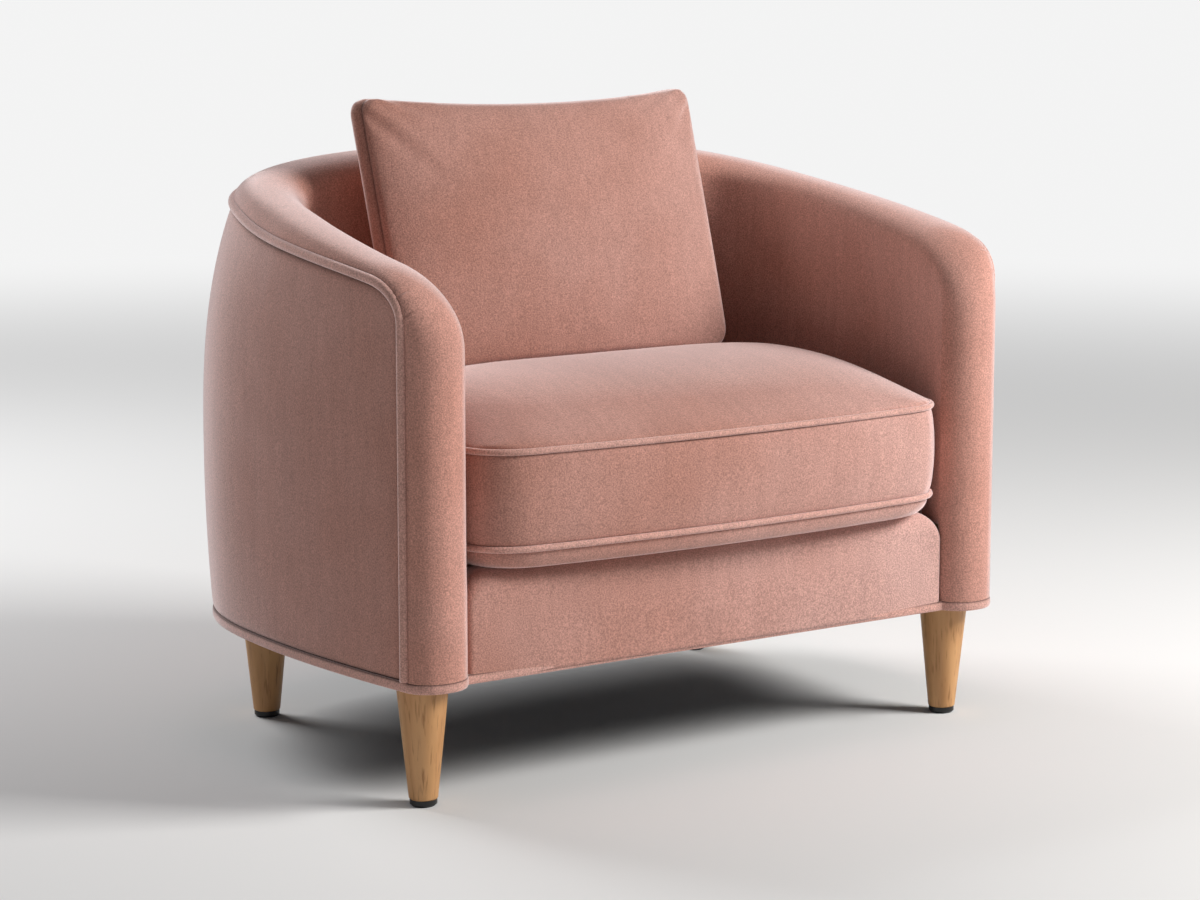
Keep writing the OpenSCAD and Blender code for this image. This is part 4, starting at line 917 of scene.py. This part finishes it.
# The seat's velvet is painted paler towards the right, a painted light from the right.
seat.data.materials.append(velvet("seat_velvet", pink, (1, 0.14, 0.14), 0.2))
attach(seat, "seat")
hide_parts("seat_cushion")

# Seat pipings: two rings of the same corded velvet, sewn between the side band and the top and the bottom
# of the cushion. The upper one faces up and out, the lower one out and slightly down.
flat_up = np.broadcast_to(np.array([0, 0, 1.0]), (len(seat_p), 3))
side_out = np.c_[seat_n, np.zeros(len(seat_n))]
# Each cord is darkened in its creases by painted shade, and wears the piping's velvet, painted paler as a
# painted highlight.
for name, node, z, facing in (("seat_top_piping", "seat_piping_top", seat_high_z, 35),
                              ("seat_bottom_piping", "seat_piping_bottom", seat_low_z, -10)):
    cord = tube(name, np.c_[seat_p, np.full(len(seat_p), z)], side_out, flat_up, seat_piping_r,
                np.radians(facing), loop=True)
    cord.data.materials.append(piping_velvet)
    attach(cord, "seat")
    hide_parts(node)

# Back cushion: fibre filling in a velvet cover of two crowned faces with a narrow strip between them, plain
# seams, round upper corners that stand up like ears, and a top edge that dips between them.
pillow_half_w, pillow_foot_w, pillow_h, pillow_lean = 0.246, 0.243, 0.350, math.radians(17.1)
pillow_strip, pillow_crown, pillow_back_crown = 0.039, 0.036, 0.052
pillow_seam, pillow_edge, pillow_bulge = 0.0105, 0.007, 0.0065
pillow_top_r, pillow_low_r, pillow_dip = 0.018, 0.026, 0.018
pillow_z, pillow_gap = 0.458, 0.0083
off_seat, front_grow = 0.0015, 0.0025
puff_power, puff_share = 2.4, 0.8
pillow_groove, pillow_groove_reach, dark_at_edge = 0.003, 0.003, 0.0016
pillow_y = (back_y - top_inset - roll_back_w - pillow_gap
            - (pillow_strip + pillow_back_crown) * math.cos(pillow_lean)
            - (rim_back_z - pillow_z) * math.tan(pillow_lean))
pillow_origin = np.array([0, pillow_y, pillow_z])
pillow_up = np.array([0, math.sin(pillow_lean), math.cos(pillow_lean)])
pillow_out = np.array([0, -math.cos(pillow_lean), math.sin(pillow_lean)])


def pillow_outline():
    """Outline of the back cushion's seams, anticlockwise from the middle of the foot: round corners,
    straight sides, and a top that dips between its corners by a parabola."""
    a = np.linspace(-np.pi / 2, 0, 30)
    low = np.stack([pillow_foot_w - pillow_low_r * (1 - np.cos(a)), pillow_low_r * (1 + np.sin(a))], -1)
    a = np.linspace(0, np.pi / 2, 30)
    high = np.stack([pillow_half_w - pillow_top_r * (1 - np.cos(a)),
                     pillow_h - pillow_top_r * (1 - np.sin(a))], -1)
    x = np.linspace(pillow_half_w - pillow_top_r, 0, 50)[1:]
    top = np.stack([x, pillow_h + 0 * x], -1)
    for part in (high, top):
        part[:, 1] -= pillow_dip * (1 - (part[:, 0] / pillow_half_w) ** 2)
    half = np.concatenate([[[0, 0]], low, high, top])
    return evenly(np.concatenate([half, half[-2:0:-1] * (-1, 1)]), 720)


def pillow_at(x, q, r):
    """Point across x, up the slope q and out of the front seam r, kept above the seat's crown."""
    p = pillow_origin + q[:, None] * pillow_up + np.broadcast_to(r, q.shape)[:, None] * pillow_out
    p[:, 0] = x
    p[:, 2] = np.maximum(p[:, 2], crown_z(p[:, 0], p[:, 1]) + off_seat)
    return p


def puff(p):
    """How far a face stands out, from 1 in its middle to 0 at its seam: one less a power of the way to the
    side, times one less that power of the way to the top or foot, and all of it to the power puff_share."""
    return ((1 - np.clip(np.abs(p[:, 0] / pillow_half_w), 0, 1) ** puff_power)
            * (1 - np.clip(np.abs(p[:, 1] / pillow_h * 2 - 1), 0, 1) ** puff_power)) ** puff_share


pillow_p = pillow_outline()
pillow_n = outward_ways(pillow_p)
# The strip bulges fully at the cushion's sides, and a fifth as far at its top and its foot.
sideways = 0.2 + 0.8 * np.abs(pillow_n[:, :1])
pillow_mid = np.array([0, pillow_h / 2])


def pillow_ring(share, grow, r, crown):
    """The seam's outline scaled about its middle, on a face that stands out by crown."""
    p = pillow_mid + (pillow_p - pillow_mid) * share + pillow_n * sideways * grow
    return pillow_at(p[:, 0], p[:, 1], r + crown * puff(p))


# The rings run from the middle of the rear face over the strip to the front seam, which lies pillow_seam
# behind the front face, and round a quarter ellipse of width pillow_edge onto that face.
swell = 0.95
rings = [pillow_ring(share, 0, -pillow_strip, -pillow_back_crown * swell)
         for share in np.linspace(0, 1, 50)[:-1] ** 0.8]
for t in np.linspace(0, 1, 20):
    rings.append(pillow_ring(1, pillow_bulge * (1 - (2 * t - 1) ** 2) + front_grow * t,
                             -pillow_strip + (pillow_strip - pillow_seam) * t, 0))
for share in 1 - np.linspace(0, 1, 60)[1:] ** 1.5:
    off_edge = 1 - min((1 - share) * pillow_mid[1] / pillow_edge, 1)
    rings.append(pillow_ring(share, front_grow * off_edge, pillow_seam * (math.sqrt(1 - off_edge ** 2) - 1),
                             pillow_crown * swell))
back = skin("back_cushion_velvet", np.array(rings), loop=True)
weld(back)


def from_seams(p):
    """Distances of points from the planes of the back cushion's front and rear seams."""
    r = (p - pillow_origin) @ pillow_out
    return r + pillow_seam, r + pillow_strip


def back_seams(p):
    """Weights near 1 at the two seams and at the cushion's foot, where it rests on the seat."""
    front, rear = from_seams(p)
    near = np.exp(-(front / held_reach) ** 2) + np.exp(-(rear / held_reach) ** 2)
    return 0.97 * near + smooth((crown_z(p[:, 0], p[:, 1]) + 0.012 - p[:, 2]) / 0.008)


fill_out(back, back_seams, most=0.016)
p = points_of(back)
front_gap, rear_gap = from_seams(p)
by_seam = (np.exp(-np.abs(front_gap) / pillow_groove_reach)
           + np.exp(-np.abs(rear_gap) / pillow_groove_reach))
p -= normals_of(back) * (pillow_groove * by_seam)[:, None]
p[:, 2] = np.maximum(p[:, 2], crown_z(p[:, 0], p[:, 1]) + 0.001)
place_points(back, p)
# Painted shade along the crease of the front seam.
set_tucked(back, np.exp(-(from_seams(points_of(back))[0] / dark_at_edge) ** 2))
# The back cushion wears the walls' cloth painted darker, a painted shade, and paler towards the right, a
# painted light from the right.
back.data.materials.append(velvet("back_velvet", (0.40, 0.196, 0.152), (1, 0.3, 0.3), 0.15))
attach(back, "back")
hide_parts("back_cushion")


# Legs: turned oak with a clear matt lacquer, each screwed to the base by a hanger bolt. They keep their CAD
# solids, whose grain runs along Z.
def blended(tree, factor, under, over):
    """Two colours mixed by a factor. The colour under it may be another mixture."""
    mixer = tree.nodes.new("ShaderNodeMix")
    mixer.data_type = "RGBA"
    tree.links.new(factor, mixer.inputs["Factor"])
    if isinstance(under, tuple):
        mixer.inputs["A"].default_value = under
    else:
        tree.links.new(under, mixer.inputs["A"])
    mixer.inputs["B"].default_value = over
    return mixer.outputs["Result"]


def oak():
    """Oak with its grain along Z: broad bands and fine dark pores, both stretched along the leg."""
    material, tree, shader, where = new_stuff("oak")
    bands = ranged(tree, noise(tree, where, 60, 3, (1, 1, 0.07)), 0.35, 0.68)
    pores = ranged(tree, noise(tree, where, 330, 2, (1, 1, 0.035)), 0.56, 0.72)
    wood = blended(tree, bands, (0.64, 0.345, 0.145, 1), (0.50, 0.245, 0.09, 1))
    tree.links.new(blended(tree, pores, wood, (0.38, 0.175, 0.06, 1)), shader.inputs["Base Color"])
    shader.inputs["Roughness"].default_value = 0.48
    roughen(tree, shader, noise(tree, where, 420, 2, (1, 1, 0.04)), 0.2, 0.0003)
    return material


def finish_node(name, material):
    """Gives a CAD node one material."""
    slots = nodes[name].data.materials
    slots.clear()
    slots.append(material)


leg_oak = oak()
for name in ("leg_front_left", "leg_front_right", "leg_rear_left", "leg_rear_right"):
    finish_node(name, leg_oak)


# Everything else keeps its CAD solid and gets one material: black plastic glides, zinc plated plates,
# screws, bolts and springs, beech rails, plywood boards, foams, the fibre filling, zips and dark linings.
def plain_stuff(name, colour, roughness, metallic, scale, spread, stretch=(1, 1, 1)):
    """A material whose colour varies by a noise of that scale between two shades, with a fine bump."""
    material, tree, shader, where = new_stuff(name)
    grain = noise(tree, where, scale, 3, stretch)
    darker = tuple(c * (1 - spread) for c in colour) + (1,)
    paler = tuple(min(1, c * (1 + spread)) for c in colour) + (1,)
    tree.links.new(blended(tree, grain, darker, paler), shader.inputs["Base Color"])
    roughen(tree, shader, grain, 0.2, 0.0003)
    shader.inputs["Roughness"].default_value = roughness
    shader.inputs["Metallic"].default_value = metallic
    return material


finishes = {
    plain_stuff("glide_plastic", (0.012, 0.012, 0.012), 0.4, 0, 500, 0.2): ("glides",),
    plain_stuff("zip_tape", (0.3, 0.17, 0.145), 0.8, 0, 900, 0.2): ("seat_zip", "back_zip"),
    plain_stuff("zinc", (0.5, 0.5, 0.51), 0.35, 1, 300, 0.1):
        ("frame_screws", "springs", "spring_clips", "spring_tie_wires", "leg_plates", "hanger_bolts",
         "tee_nuts", "plate_screws", "glide_nails", "seat_zip_slider", "back_zip_slider"),
    plain_stuff("beech", (0.66, 0.46, 0.28), 0.6, 0, 40, 0.12, (0.2, 1, 1)):
        ("front_rail", "rear_rail", "side_rail_left", "side_rail_right", "corner_blocks"),
    plain_stuff("plywood", (0.6, 0.42, 0.24), 0.65, 0, 60, 0.14, (1, 1, 8)):
        ("base_board", "arm_board_left", "arm_board_right", "rim_rail", "shell_ribs"),
    plain_stuff("foam", (0.8, 0.72, 0.5), 0.95, 0, 700, 0.1):
        ("roll_foam", "inner_foam", "front_foam", "seat_core"),
    plain_stuff("fibre", (0.85, 0.85, 0.82), 0.95, 0, 400, 0.06): ("back_core",),
    plain_stuff("lining", (0.03, 0.03, 0.034), 0.9, 0, 900, 0.3): ("deck_cloth", "dust_cover"),
}
for material, names in finishes.items():
    for name in names:
        finish_node(name, material)
